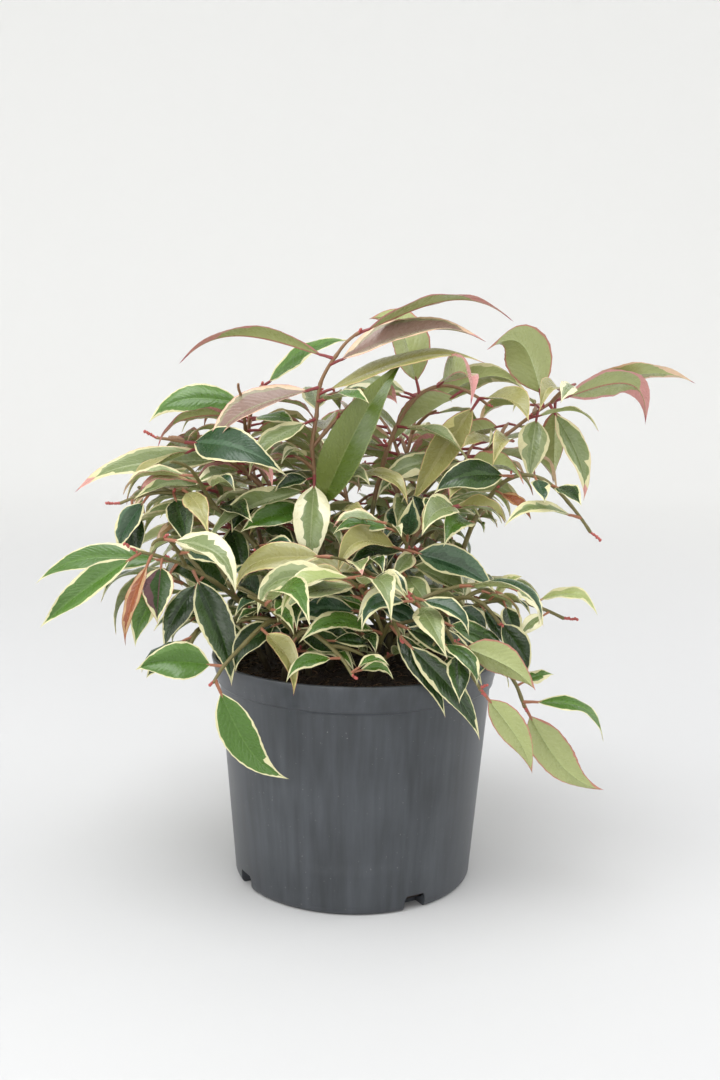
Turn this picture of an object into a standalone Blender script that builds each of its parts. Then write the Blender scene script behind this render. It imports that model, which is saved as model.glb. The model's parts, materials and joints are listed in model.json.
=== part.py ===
"""A variegated evergreen shrub in a round nursery pot.

Arching stems rise from the compost. Each is a bare tapering bough, then a mass of foliage: the same
stem as a twig, its side twigs, and long drawn-out leaves set alternately along them. Lengths are in
metres, +Z is up, and the front of the plant faces -Y. The origin is the centre of the pot's underside.
"""

import math
import random

import bpy
from mathutils import Vector
from mathutils.bvhtree import BVHTree

MM = 0.001
GAP = 0.3 * MM
UP = Vector((0, 0, 1))
FRONT = Vector((0, -1, 0))

# Pot
POT_HEIGHT = 121 * MM
RIM_RADIUS = 78 * MM
BASE_RADIUS = 64.3 * MM
SHOULDER_RADIUS = 73.6 * MM
BAND_HEIGHT = 14 * MM
BAND_STEP = 1.3 * MM
WALL = 1.9 * MM
FLOOR = 3.5 * MM
FOOT_ROUND = 2.5 * MM
PANEL_HALF_ANGLE = math.radians(22.5)
PANEL_LOW = 24 * MM
PANEL_DEPTH = 0.8 * MM
POT_SIDES = 40
NOTCHES = 4
FIRST_NOTCH = math.radians(-150)
NOTCH_WIDTH = 13 * MM
NOTCH_HEIGHT = 8 * MM

# Compost
SOIL_EDGE = 111.5 * MM
SOIL_RISE = 3.5 * MM
SOIL_RINGS = 3

# Stems: where each leaves the compost, a point half way along, its tip, all in millimetres, and the
# share of its length that is bare
STEMS = {
    "centre": ((-6, 0), (-24, -5, 236), (-1, -15, 291), 0.42),
    "arch": ((2, 16), (21, 10, 245), (69, 5, 256), 0.46),
    "right_tall": ((24, 5), (36, 0, 193), (115, 20, 264), 0.38),
    "right_droop": ((44, 14), (74, -15, 214), (119, -30, 192), 0.46),
    "left_high": ((-14, 14), (-46, 4, 203), (-106, -10, 236), 0.50),
    "left_tall": ((-34, 18), (-60, 22, 210), (-54, 18, 264), 0.52),
    "left_mid": ((-22, -4), (-68, -14, 195), (-121, -30, 203), 0.42),
    "left_low": ((-33, -10), (-68, -28, 159), (-109, -50, 181), 0.40),
    "left_upright": ((-46, 6), (-64, 6, 172), (-78, 0, 213), 0.44),
    "left_skirt": ((-46, -16), (-66, -32, 143), (-88, -46, 131), 0.36),
    "front_left": ((-24, -28), (-38, -47, 147), (-67, -80, 123), 0.30),
    "front_low": ((-36, -38), (-25, -55, 143), (-1, -79, 127), 0.30),
    "front_drape": ((-14, -14), (22, -46, 159), (59, -86, 122), 0.28),
    "front_short": ((8, -34), (16, -52, 146), (22, -70, 143), 0.40),
    "inner": ((16, -12), (22, -20, 160), (27, -24, 194), 0.40),
    "inner_left": ((-37, -26), (-34, -26, 158), (-50, -40, 180), 0.40),
    "upper_back": ((14, 30), (26, 42, 222), (44, 58, 262), 0.42),
    "inner_back": ((8, 30), (-4, 24, 158), (-14, 36, 188), 0.36),
    "right_inner": ((31, 19), (41, 12, 144), (60, 24, 160), 0.36),
    "right_mid": ((30, -24), (49, -36, 156), (71, -57, 149), 0.34),
    "right_low": ((38, -2), (65, -20, 152), (107, -30, 147), 0.40),
    "right_bottom": ((42, -18), (64, -38, 134), (84, -60, 108), 0.42),
    "back_left": ((-24, 34), (-62, 70, 190), (-96, 104, 200), 0.40),
    "back_centre": ((-2, 42), (-8, 76, 206), (-14, 128, 214), 0.40),
    "back_right": ((22, 34), (38, 70, 196), (54, 112, 204), 0.40),
    "back_skirt_left": ((-42, 32), (-76, 58, 160), (-112, 72, 150), 0.40),
    "back_skirt_right": ((44, 30), (56, 62, 150), (70, 92, 138), 0.40),
    "back_low": ((12, 54), (20, 84, 152), (30, 114, 138), 0.36),
    "back_low_left": ((-18, 52), (-36, 84, 150), (-56, 110, 142), 0.36),
}
ROOT_RADIUS = 1.8 * MM
TIP_RADIUS = 0.8 * MM
ZIGZAG = 0.8 * MM
NODE_GAP = 17 * MM
PATH_STEPS = 48
BOUGH_SIDES = 6
BOUGH_STEPS = 5
TWIG_SIDES = 3
TWIG_STEP = 13 * MM

# Leaves
LEAF_LONG = 78 * MM
LEAF_SHORT = 50 * MM
LEAF_WIDTH = 9.5 * MM
LEAF_WIDENING = 0.09
LEAF_BROADEST = 0.36
PETIOLE = 7 * MM
PETIOLE_RADIUS = 0.9 * MM
STALK_SHOULDER = math.sqrt(3) / 2
KEEL = 0.8 * MM
LIFT_SCALE = 2.1
FOLD = 0.12
ROUND_BASE = 0.85
LONG_TIP = 1.4
BLADE_STATIONS = (0.14, 0.38, 0.7)
LEAF_CLEARANCE = 0.45 * MM
STEM_CLEARANCE = 3.2 * MM
POT_CLEARANCE = 1.5 * MM
TRIES = 14
SHRINK = 0.04

# Leaves that give the crown its outline: share of the stem's length, reach of the tip from the stem in
# millimetres, arch as a share of length, how far the upper face turns to the front in degrees, and width
PLACED = {
    "centre": (
        (1.00, 82, 4, 8, 0.17, -12, 1.25),
        (0.90, -81, 2, -4, 0.17, -12, 1.15),
        (0.88, 80, -12, 12, 0.13, 35, 1.35),
        (0.79, 86, -10, 17, 0.11, 24, 1.2),
        (0.81, -57, -12, -39, 0.16, 30, 1.2),
        (0.72, -33, -24, -30, 0.15, 34, 1.0),
        (0.73, -5, 44, 15, 0.08, 0, 1.0),
        (0.77, 27, -38, -1, 0.08, 22, 1.0),
        (0.41, 46, -6, 84, 0.05, 60, 1.2),
        (0.52, -58, -16, -34, 0.13, 34, 1.0),
        (0.56, -1, -20, -52, 0.08, 80, 1.35),
        (0.60, -16, -16, -2, 0.30, 15, 1.0),
        (0.55, -21, -10, -7, 0.08, 52, 1.0),
        (0.46, -37, -30, -10, 0.08, 60, 1.1),
    ),
    "arch": (
        (0.79, -28, 30, 42, 0.24, -58, 1.7),
        (0.97, 22, -34, -12, 0.16, 40, 1.5),
        (0.97, -36, -12, -57, 0.01, 62, 1.05),
        (0.92, -38, 18, -30, 0.04, -28, 1.4),
        (0.68, 39, -18, -20, 0.14, 14, 1.0),
        (0.62, -36, -20, -1, 0.08, 24, 1.0),
        (0.58, 31, 34, -4, 0.08, -20, 1.0),
        (0.52, 44, 10, -8, 0.15, 20, 1.0),
        (0.78, -43, 6, -1, 0.20, 34, 1.0),
    ),
    "right_tall": (
        (0.91, -35, -26, 29, 0.34, -76, 1.85),
        (1.00, 69, -4, 6, 0.11, -50, 1.0),
        (0.94, 55, 14, -12, 0.33, -44, 1.45),
        (0.85, 35, -20, -6, 0.22, 6, 0.85),
        (0.93, 18, -14, -52, 0.10, 52, 0.95),
        (0.89, -7, -24, -37, 0.08, 72, 1.3),
        (0.95, 4, 20, -47, 0.08, -60, 1.0),
        (0.65, -53, -10, -22, 0.20, 48, 1.0),
        (0.75, -23, -28, -4, 0.08, 30, 1.0),
        (0.42, -7, -18, 17, 0.08, 60, 1.0),
        (0.90, -18, -20, -2, 0.30, 30, 0.9),
    ),
    "right_droop": (
        (0.70, -43, -16, -9, 0.13, 62, 1.25),
        (0.82, 10, -28, -8, 0.08, 44, 1.0),
        (0.95, -41, -14, -4, 0.18, 26, 0.8),
        (0.76, 2, -24, -12, 0.08, 50, 1.0),
        (0.62, 16, -22, -13, 0.08, 40, 0.75),
    ),
    "left_high": (
        (0.91, 56, -24, -16, 0.11, 66, 1.4),
        (0.76, -81, -8, -18, 0.10, 50, 1.0),
        (0.86, -41, 6, -32, 0.14, 8, 1.0),
        (0.70, -22, -30, -6, 0.08, 34, 1.0),
        (0.62, -14, -24, -22, 0.08, 60, 1.0),
    ),
    "left_tall": (
        (1.00, 50, -18, 26, 0.08, 44, 1.1),
        (0.93, -56, -8, -11, 0.16, 60, 1.35),
        (0.88, 27, -30, -3, 0.08, 30, 1.0),
        (0.78, -16, -24, -7, 0.08, 30, 1.0),
    ),
    "left_mid": (
        (0.96, 3, -4, -34, 0.06, 30, 1.1),
        (0.82, 11, -24, -26, 0.08, 66, 1.1),
        (0.70, -40, -16, -14, 0.06, 12, 1.0),
        (0.90, -14, -10, -30, 0.08, 44, 1.0),
    ),
    "left_low": (
        (0.83, -67, -6, -12, 0.12, 54, 1.0),
        (0.98, -48, -10, -37, 0.03, 50, 1.0),
        (0.72, 22, -18, -56, 0.08, 78, 1.15),
        (0.80, -20, -8, -42, 0.08, 60, 1.1),
        (0.66, -18, -14, -36, 0.08, 60, 1.0),
        (0.88, 0, -14, -31, 0.08, 60, 1.3),
        (0.93, -11, -12, -44, 0.06, 30, 0.55),
    ),
    "left_upright": (
        (0.99, -44, -10, -21, 0.22, 20, 1.0),
        (0.94, -40, -26, -3, 0.13, 30, 1.0),
        (0.74, -40, -14, -18, 0.24, 22, 1.0),
        (0.78, 11, -22, -30, 0.08, 64, 1.0),
        (0.88, 20, -28, -8, 0.08, 50, 1.0),
    ),
    "left_skirt": (
        (0.97, -16, -16, -13, 0.08, 50, 1.0),
        (0.58, 10, -26, -14, 0.08, 66, 1.0),
    ),
    "front_left": (
        (1.00, 36, -4, -47, -0.12, 82, 1.2),
        (0.90, -41, -6, -1, 0.08, 64, 1.4),
        (0.60, 18, -24, -28, 0.24, 40, 0.8),
        (0.42, -22, -22, -22, 0.20, 66, 1.0),
        (0.39, 38, -16, -3, -0.19, 50, 0.9),
    ),
    "front_low": (
        (0.86, -26, -6, -11, 0.20, 40, 0.8),
        (0.98, 18, -10, 6, 0.21, 34, 0.8),
        (1.00, 20, -4, -2, 0.24, 40, 0.8),
        (0.40, -7, -4, -14, 0.08, 60, 1.0),
        (0.69, 24, 10, -7, 0.13, 40, 0.9),
    ),
    "front_drape": (
        (1.00, 26, 0, -41, 0.06, -72, 1.05),
        (0.80, 38, -12, -20, 0.08, -62, 1.35),
        (0.30, -42, -16, -6, 0.16, 58, 1.0),
        (0.35, 22, -20, -12, 0.24, 58, 1.1),
        (0.58, 14, -28, -22, 0.08, 60, 1.0),
        (0.82, 0, -22, -22, 0.10, 40, 1.0),
    ),
    "front_short": (
        (1.00, 38, -16, -46, 0.08, 64, 0.85),
        (0.67, 27, -22, -41, 0.08, 60, 0.85),
    ),
    "inner": (
        (0.83, 45, -20, -19, 0.08, 62, 1.2),
        (0.88, 2, -14, 25, 0.08, 66, 1.0),
        (0.69, 14, -28, -18, 0.08, 54, 1.0),
        (0.75, 40, 8, -25, 0.07, 40, 1.25),
        (0.82, -35, -22, -11, 0.32, 36, 1.25),
    ),
    "right_mid": (
        (0.54, 18, -10, -17, 0.25, 50, 0.9),
        (0.79, 14, -6, -22, 0.03, 50, 0.9),
        (0.94, 16, -10, -26, 0.09, 60, 1.1),
        (0.49, 12, 8, -19, 0.08, 50, 1.0),
    ),
    "right_low": (
        (0.80, 34, -10, -4, 0.26, 16, 1.0),
        (0.92, -17, -12, -12, 0.08, 56, 1.0),
        (0.66, 5, -20, -20, 0.08, 66, 1.0),
        (0.58, 15, -16, 16, 0.08, 40, 1.0),
    ),
    "right_bottom": (
        (0.99, 41, -4, -42, -0.12, -64, 1.35),
        (0.97, 38, -12, -16, 0.26, 20, 0.9),
        (0.86, 20, 8, 4, 0.10, 30, 1.1),
    ),
}

# Placed leaves are read from here, and one that touches something is moved along its line of sight,
# and bowed towards the front
VIEW_POINT = Vector((1.5, -590, 252.7)) * MM
EASES = (0, -6, 6, -12, 12, -18, 18, -24, 24, -30)
BOWS = (0.0, 0.1, 0.2)

# Leaves set by rule
RULE_WIDTH = 1.1
HIDING_SHARES = (0.35, 0.55, 0.75, 1.0)
# Gaps in the crown as seen from the front, in millimetres: across, up, half width, half height
OPEN_PLACES = (
    (100, 176, 36, 19),
    (120, 117, 34, 22),
    (128, 246, 20, 14),
    (-72, 112, 16, 12),
    (-58, 280, 10, 12),
    (-142, 203, 12, 14),
)
NODE_SPREAD = (48, 68)
FALL = (0.22, 0.64)
FACE_OUT = (0.3, 1.1)
FACE_SWING = 0.3
LEAF_ARCH = (0.1, 0.24)
SIZE_SWING = (0.86, 1.12)
TIPWARD_LOSS = 0.6
FIRST_NODE = 6 * MM
TAKEN_ROOM = 7 * MM
SINGLE_STEMS = ("arch", "right_droop", "right_low")
SIDE_TWIG_NODES = (0, 2, 4)
SIDE_TWIG_SPREAD = (40, 62)
SIDE_TWIG_RISE = (-0.1, 0.35)
SIDE_TWIG_BEND = (0.04, 0.14)
SIDE_TWIG_LENGTH = (38, 60)
SIDE_TWIG_DROP = 10 * MM
SIDE_TWIG_RADIUS = (1.15 * MM, 0.7 * MM)
SIDE_TWIG_GUARD = 1.9 * MM
SIDE_TWIG_START = 3.6 * MM
SIDE_TWIG_ROOM = 25 * MM
SIDE_TWIG_LEAVES = 4
SIDE_TWIG_LEAF = 54 * MM
SEED = 11

# Crown
CROWN_RADIUS = 178 * MM
CROWN_DEPTH = 165 * MM
CROWN_TOP = 306 * MM
CROWN_LOW = 120 * MM
DOME_MIDDLE = 40 * MM
DOME_FALL_ACROSS = 3.1
DOME_FALL_BACK = 2.0


def clear_scene():
    for thing in list(bpy.data.objects):
        bpy.data.objects.remove(thing, do_unlink=True)


def finish(name, colour, roughness):
    """A plain plastic, wood or leaf finish."""
    material = bpy.data.materials.new(name)
    material.use_nodes = True
    shader = material.node_tree.nodes["Principled BSDF"]
    shader.inputs["Base Color"].default_value = (*colour, 1)
    shader.inputs["Roughness"].default_value = roughness
    return material


def solid(name, points, faces, material, smooth=False):
    mesh = bpy.data.meshes.new(name)
    mesh.from_pydata([tuple(point) for point in points], [], faces)
    mesh.update()
    if smooth:
        mesh.shade_smooth()
        mesh.set_sharp_from_angle(angle=math.radians(40))
    thing = bpy.data.objects.new(name, mesh)
    thing.data.materials.append(material)
    bpy.context.collection.objects.link(thing)
    return thing


def loft(rings, closed_start=True, closed_end=True):
    """Points and outward faces of rings joined in turn. A ring of one point is a tip."""
    points = []
    starts = []
    for ring in rings:
        starts.append(len(points))
        points.extend(ring)
    faces = []
    for first, second, at, to in zip(rings, rings[1:], starts, starts[1:]):
        count = max(len(first), len(second))
        for i in range(count):
            j = (i + 1) % count
            if len(second) == 1:
                faces.append((at + i, at + j, to))
            elif len(first) == 1:
                faces.append((at, to + j, to + i))
            else:
                faces.append((at + i, at + j, to + j, to + i))
    if closed_start and len(rings[0]) > 2:
        faces.append(tuple(reversed(range(starts[0], starts[0] + len(rings[0])))))
    if closed_end and len(rings[-1]) > 2:
        faces.append(tuple(range(starts[-1], starts[-1] + len(rings[-1]))))
    return points, faces


# Pot and compost


def wall_radius(height):
    """Outer radius of the pot's plain wall."""
    share = height / (POT_HEIGHT - BAND_HEIGHT)
    return BASE_RADIUS + (SHOULDER_RADIUS - BASE_RADIUS) * share


def pot_angles():
    """Even steps round the pot, with a close pair at each side of the label panel."""
    even = [math.tau * i / POT_SIDES for i in range(POT_SIDES)]
    front = math.radians(-90)
    inside = PANEL_HALF_ANGLE - math.radians(0.8)
    pairs = [front + side * edge for side in (-1, 1) for edge in (PANEL_HALF_ANGLE, inside)]
    pairs = [angle % math.tau for angle in pairs]
    far = [a for a in even if all(abs(a - b) > math.radians(2.5) for b in pairs)]
    return sorted(far + pairs)


def in_panel(angle, height):
    from_front = abs((angle - math.radians(-90) + math.pi) % math.tau - math.pi)
    low = PANEL_LOW - 0.1 * MM
    high = POT_HEIGHT - BAND_HEIGHT
    return from_front < PANEL_HALF_ANGLE - math.radians(0.4) and low < height < high


def pot_profile():
    """Radius and height down the outside, across the underside, and up the inside."""
    band_low = POT_HEIGHT - BAND_HEIGHT
    lip = RIM_RADIUS - WALL
    outside = [
        (lip, POT_HEIGHT),
        (RIM_RADIUS - 0.7 * MM, POT_HEIGHT),
        (RIM_RADIUS, POT_HEIGHT - 0.9 * MM),
        (SHOULDER_RADIUS + BAND_STEP, band_low + 0.5 * MM),
        (SHOULDER_RADIUS - 0.1 * MM, band_low),
        (wall_radius(band_low - 1.2 * MM), band_low - 1.2 * MM),
        (wall_radius(PANEL_LOW), PANEL_LOW),
        (wall_radius(PANEL_LOW - 0.8 * MM), PANEL_LOW - 0.8 * MM),
        (wall_radius(FOOT_ROUND), FOOT_ROUND),
        (BASE_RADIUS - 0.7 * MM, 0.7 * MM),
        (BASE_RADIUS - FOOT_ROUND, 0),
    ]
    inside = [
        (BASE_RADIUS - WALL - FOOT_ROUND, FLOOR),
        (wall_radius(FLOOR + FOOT_ROUND) - WALL, FLOOR + FOOT_ROUND),
        (wall_radius(band_low) - WALL, band_low),
        (lip - 0.8 * MM, band_low + 3 * MM),
    ]
    return outside, inside


def turned(profile, angles):
    """One ring of points for each row of the profile."""
    rings = []
    for radius, height in profile:
        ring = []
        for angle in angles:
            cut = PANEL_DEPTH if in_panel(angle, height) else 0
            reach = radius - cut
            ring.append(Vector((reach * math.cos(angle), reach * math.sin(angle), height)))
        rings.append(ring)
    return rings


def make_notch_cutter(angle):
    """A block that cuts one drainage notch through the foot of the wall."""
    outward = Vector((math.cos(angle), math.sin(angle), 0))
    across = Vector((-outward.y, outward.x, 0)) * NOTCH_WIDTH / 2
    near = outward * (BASE_RADIUS - 9 * MM)
    far = outward * (BASE_RADIUS + 6 * MM)
    low = UP * -2 * MM
    high = UP * NOTCH_HEIGHT
    slope = 0.86
    ring_low = [near - across + low, far - across + low, far + across + low, near + across + low]
    top = [near - across * slope, far - across * slope, far + across * slope, near + across * slope]
    ring_high = [corner + high for corner in top]
    points, faces = loft([ring_low, ring_high])
    return points, faces


def make_pot():
    material = finish("anthracite plastic", (0.035, 0.038, 0.042), 0.5)
    outside, inside = pot_profile()
    angles = pot_angles()
    rings = turned(outside, angles)
    inner = turned(inside, angles)
    # The underside and the floor inside are each closed by one face; the shell is one loop of rings
    rings.reverse()
    points, faces = loft(rings, closed_start=True, closed_end=False)
    base = len(points)
    count = len(angles)
    lip_start = base - count
    inner_points, inner_faces = loft(inner, closed_start=False, closed_end=False)
    points = points + inner_points
    faces = faces + [tuple(base + i for i in reversed(face)) for face in inner_faces]
    top_inner = base + (len(inner) - 1) * count
    for i in range(count):
        j = (i + 1) % count
        faces.append((lip_start + i, lip_start + j, top_inner + j, top_inner + i))
    faces.append(tuple(range(base, base + count)))
    pot = solid("pot", points, faces, material, smooth=True)
    for number in range(NOTCHES):
        angle = FIRST_NOTCH + math.tau * number / NOTCHES
        cutter_points, cutter_faces = make_notch_cutter(angle)
        cutter = solid("notch_cutter_%d" % (number + 1), cutter_points, cutter_faces, material)
        cut = pot.modifiers.new("drainage notch", "BOOLEAN")
        cut.operation = "DIFFERENCE"
        cut.object = cutter
        apply_modifiers(pot)
        bpy.data.objects.remove(cutter, do_unlink=True)


def soil_top(x, y):
    """Height of the compost, a little higher in the middle."""
    radius = math.hypot(x, y)
    return SOIL_EDGE + SOIL_RISE * max(0.0, 1 - (radius / SHOULDER_RADIUS) ** 2)


def make_soil():
    material = finish("dark compost", (0.02, 0.013, 0.009), 0.95)
    angles = [math.tau * i / POT_SIDES for i in range(POT_SIDES)]
    side = [
        (BASE_RADIUS - WALL - FOOT_ROUND - 1 * MM, FLOOR + GAP),
        (wall_radius(FLOOR + FOOT_ROUND) - WALL - 1 * MM, FLOOR + FOOT_ROUND + 1 * MM),
        (wall_radius(SOIL_EDGE - 6 * MM) - WALL - 1 * MM, SOIL_EDGE - 6 * MM),
    ]
    edge = side[-1][0]
    top = [(edge, soil_top(edge, 0))]
    for ring in range(SOIL_RINGS - 1, 0, -1):
        radius = edge * ring / SOIL_RINGS
        top.append((radius, soil_top(radius, 0)))
    rings = []
    for radius, height in side + top:
        rings.append([Vector((radius * math.cos(a), radius * math.sin(a), height)) for a in angles])
    rings.append([Vector((0, 0, soil_top(0, 0)))])
    points, faces = loft(rings)
    solid("soil", points, faces, material, smooth=True)


# Paths of stems and twigs


class Path:
    """A smooth curve through three points, measured along its length, with a small zigzag at its nodes."""

    def __init__(self, root, middle, tip, zigzag):
        control = middle * 2 - (root + tip) / 2
        self.points = []
        for step in range(PATH_STEPS + 1):
            t = step / PATH_STEPS
            self.points.append(root * (1 - t) ** 2 + control * 2 * t * (1 - t) + tip * t ** 2)
        self.reach = [0.0]
        for first, second in zip(self.points, self.points[1:]):
            self.reach.append(self.reach[-1] + (second - first).length)
        self.length = self.reach[-1]
        self.zigzag = zigzag

    def smooth_point(self, distance):
        distance = min(max(distance, 0.0), self.length)
        step = 0
        while step < PATH_STEPS - 1 and self.reach[step + 1] < distance:
            step += 1
        span = self.reach[step + 1] - self.reach[step]
        return self.points[step].lerp(self.points[step + 1], (distance - self.reach[step]) / span)

    def direction(self, distance):
        ahead = self.smooth_point(distance + 2 * MM)
        behind = self.smooth_point(distance - 2 * MM)
        return (ahead - behind).normalized()

    def side(self, distance):
        """Level direction across the path, the same way all along it."""
        chord = self.points[-1] - self.points[0]
        across = Vector((chord.y, -chord.x, 0))
        if across.length < 5 * MM:
            across = Vector((1, 0, 0))
        along = self.direction(distance)
        return (across - along * across.dot(along)).normalized()

    def point(self, distance):
        phase = distance / NODE_GAP % 2
        wave = 1 - 2 * abs(phase - 1)
        fade = min(1.0, distance / (3 * NODE_GAP))
        return self.smooth_point(distance) + self.side(distance) * self.zigzag * wave * fade


def stem_radius(share):
    return ROOT_RADIUS + (TIP_RADIUS - ROOT_RADIUS) * share


def tube_rings(path, start, end, sides, steps, radius_at, flat_foot=False):
    """Rings across a stretch of a path, each turned to face along it."""
    rings = []
    for step in range(steps + 1):
        distance = start + (end - start) * step / steps
        along = path.direction(distance)
        if flat_foot and step == 0:
            along = UP
        across = path.side(distance)
        across = (across - along * across.dot(along)).normalized()
        other = along.cross(across)
        centre = path.point(distance)
        radius = radius_at(distance)
        ring = []
        for i in range(sides):
            angle = math.tau * i / sides
            ring.append(centre + across * radius * math.cos(angle) + other * radius * math.sin(angle))
        rings.append(ring)
    return rings


# Leaves


class Leaf:
    """One leaf: its stalk starts inside the stem, and its blade arches to a drawn-out tip."""

    def __init__(self, root, tip, arch, face, width=1.0, bow=0.0):
        self.root = root
        self.chord = tip - root
        self.length = self.chord.length
        along = self.chord.normalized()
        rise = UP - along * UP.dot(along)
        if rise.length < 0.2:
            rise = Vector((along.x, along.y, 0.2)) * -1
            rise = rise - along * rise.dot(along)
        toward = FRONT - along * FRONT.dot(along)
        self.lift = (rise.normalized() * arch + toward * bow) * self.length
        face = face - along * face.dot(along)
        self.face = face.normalized()
        self.width = min(LEAF_WIDTH + self.length * LEAF_WIDENING, self.length * LEAF_BROADEST) * width

    def middle(self, share):
        """Point on the midrib, at a share of the way from the stem to the tip."""
        return self.root + self.chord * share + self.lift * LIFT_SCALE * share * (1 - share ** 3)

    def frame(self, share):
        """Midrib point, direction across the blade, and the upper face's direction."""
        along = (self.middle(share + 0.02) - self.middle(share - 0.02)).normalized()
        normal = (self.face - along * self.face.dot(along)).normalized()
        return self.middle(share), along.cross(normal), normal

    def half_width(self, blade_share):
        peak = ROUND_BASE / (ROUND_BASE + LONG_TIP)
        highest = peak ** ROUND_BASE * (1 - peak) ** LONG_TIP
        return self.width / 2 * blade_share ** ROUND_BASE * (1 - blade_share) ** LONG_TIP / highest

    def mesh(self, grow=0.0, from_stem=0.0):
        """Points and faces of a thin keeled blade on its stalk, made thicker all round by grow."""
        stalk = PETIOLE / self.length
        start = from_stem / self.length
        rings = []
        for share in (start, stalk):
            centre, across, normal = self.frame(share)
            radius = PETIOLE_RADIUS + grow
            rings.append([
                centre + across * radius * STALK_SHOULDER + normal * radius / 2,
                centre - across * radius * STALK_SHOULDER + normal * radius / 2,
                centre - normal * radius,
            ])
        for blade_share in BLADE_STATIONS:
            centre, across, normal = self.frame(stalk + (1 - stalk) * blade_share)
            half = self.half_width(blade_share)
            lift = normal * (half * FOLD + grow)
            rings.append([
                centre + across * (half + grow) + lift,
                centre - across * (half + grow) + lift,
                centre - normal * (KEEL + grow),
            ])
        rings.append([self.middle(1.0)])
        points, faces = loft(rings)
        return points, faces


class Crowd:
    """Everything grown so far, so that a new leaf or twig can be kept clear of it."""

    def __init__(self):
        self.trees = []
        self.shown = None

    def add(self, points, faces):
        low = Vector([min(p[i] for p in points) for i in range(3)])
        high = Vector([max(p[i] for p in points) for i in range(3)])
        self.trees.append((low, high, BVHTree.FromPolygons(points, faces)))

    def touches(self, points, faces):
        low = Vector([min(p[i] for p in points) for i in range(3)])
        high = Vector([max(p[i] for p in points) for i in range(3)])
        tree = None
        for other_low, other_high, other in self.trees:
            if any(low[i] > other_high[i] or high[i] < other_low[i] for i in range(3)):
                continue
            if tree is None:
                tree = BVHTree.FromPolygons(points, faces)
            if tree.overlap(other):
                return True
        return False


def hits_pot(point, margin):
    """Whether a point is in the pot, its rim or its compost, or too close to them."""
    radius = math.hypot(point.x, point.y)
    if point.z > POT_HEIGHT + margin:
        return False
    if radius > RIM_RADIUS + margin:
        return False
    outer = RIM_RADIUS if point.z > POT_HEIGHT - BAND_HEIGHT - margin else wall_radius(point.z) + 1 * MM
    if radius > outer + margin:
        return False
    inner = RIM_RADIUS - WALL - 1 * MM - margin
    return not (radius < inner and point.z > soil_top(point.x, point.y) + margin)


def leaf_clears_pot(leaf):
    for step in range(3, 25):
        share = step / 24
        centre, across, normal = leaf.frame(share)
        stalk = PETIOLE / leaf.length
        blade = max(0.0, (share - stalk) / (1 - stalk))
        half = leaf.half_width(min(blade, 1.0))
        for offset in (-half, 0.0, half):
            if hits_pot(centre + across * offset, POT_CLEARANCE):
                return False
    return True


def under_dome(point):
    """Whether a point is below the crown's rounded top."""
    fall = DOME_FALL_ACROSS * (point.x - DOME_MIDDLE) ** 2 + DOME_FALL_BACK * point.y ** 2
    return point.z < CROWN_TOP - fall


def in_open_place(point):
    """Whether a point is in one of the gaps in the crown, as seen from the front."""
    seen = VIEW_POINT + (point - VIEW_POINT) * VIEW_POINT.y / (VIEW_POINT.y - point.y)
    for x, z, half_width, half_height in OPEN_PLACES:
        across = (seen.x / MM - x) / half_width
        up = (seen.z / MM - z) / half_height
        if across ** 2 + up ** 2 < 1:
            return True
    return False


def leaf_in_crown(leaf):
    tip = leaf.middle(1.0)
    reach = (tip.x / CROWN_RADIUS) ** 2 + (tip.y / CROWN_DEPTH) ** 2
    if reach > 1 or tip.z < CROWN_LOW or any(in_open_place(leaf.middle(share)) for share in HIDING_SHARES):
        return False
    return all(under_dome(leaf.middle(step / 8)) for step in range(9))


def hides_named(leaf, crowd):
    """Whether a leaf would stand before a named one, as seen from the front."""
    for share in HIDING_SHARES:
        point = leaf.middle(share)
        if crowd.shown.ray_cast(point, (point - VIEW_POINT).normalized())[0]:
            return True
    return False


def leaf_fits(leaf, crowd):
    if not leaf_clears_pot(leaf):
        return False
    points, faces = leaf.mesh(LEAF_CLEARANCE, STEM_CLEARANCE)
    return not crowd.touches(points, faces)


# Growth


class Limb:
    """One stem: its path, where its foliage starts, its side twigs and its leaves."""

    def __init__(self, name):
        root, middle, tip, bare_share = STEMS[name]
        foot = Vector((root[0] * MM, root[1] * MM, 0))
        foot.z = soil_top(foot.x, foot.y) + GAP
        self.name = name
        self.path = Path(foot, Vector(middle) * MM, Vector(tip) * MM, ZIGZAG)
        self.bare = self.path.length * bare_share
        self.twigs = []
        self.leaves = []

    def radius_at(self, distance):
        return stem_radius(distance / self.path.length)


def placed_leaf(limb, row, crowd):
    """Where along the limb a named leaf springs, and the leaf, or none if it fits nowhere."""
    place, reach_x, reach_y, reach_z, arch, turn, width = row[:7]
    distance = max(place * limb.path.length, limb.bare + GAP + STEM_CLEARANCE)
    root = limb.path.point(min(distance, limb.path.length - POT_CLEARANCE))
    tip = root + Vector((reach_x, reach_y, reach_z)) * MM
    sight = (tip - VIEW_POINT).normalized()
    turn = math.radians(turn)
    face = Vector((0, -math.sin(turn), math.cos(turn)))
    for ease in EASES:
        for bow in BOWS:
            leaf = Leaf(root, tip + sight * ease * MM, arch, face, width, bow)
            if leaf_fits(leaf, crowd):
                return distance, leaf
    return distance, None


def grow_placed_leaves(limbs, crowd):
    """Set the named leaves, and remember them as one mesh that later leaves mustn't hide."""
    shown_points = []
    shown_faces = []
    for limb in limbs:
        limb.taken = []
        limb.taken_end = 0.0
        for row in PLACED.get(limb.name, ()):
            distance, leaf = placed_leaf(limb, row, crowd)
            if leaf:
                points, faces = leaf.mesh()
                crowd.add(points, faces)
                shown_faces.extend(tuple(i + len(shown_points) for i in face) for face in faces)
                shown_points.extend(points)
                limb.leaves.append(leaf)
                limb.taken.append(distance)
                limb.taken_end = max(limb.taken_end, distance)
    crowd.shown = BVHTree.FromPolygons(shown_points, shown_faces)


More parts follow.
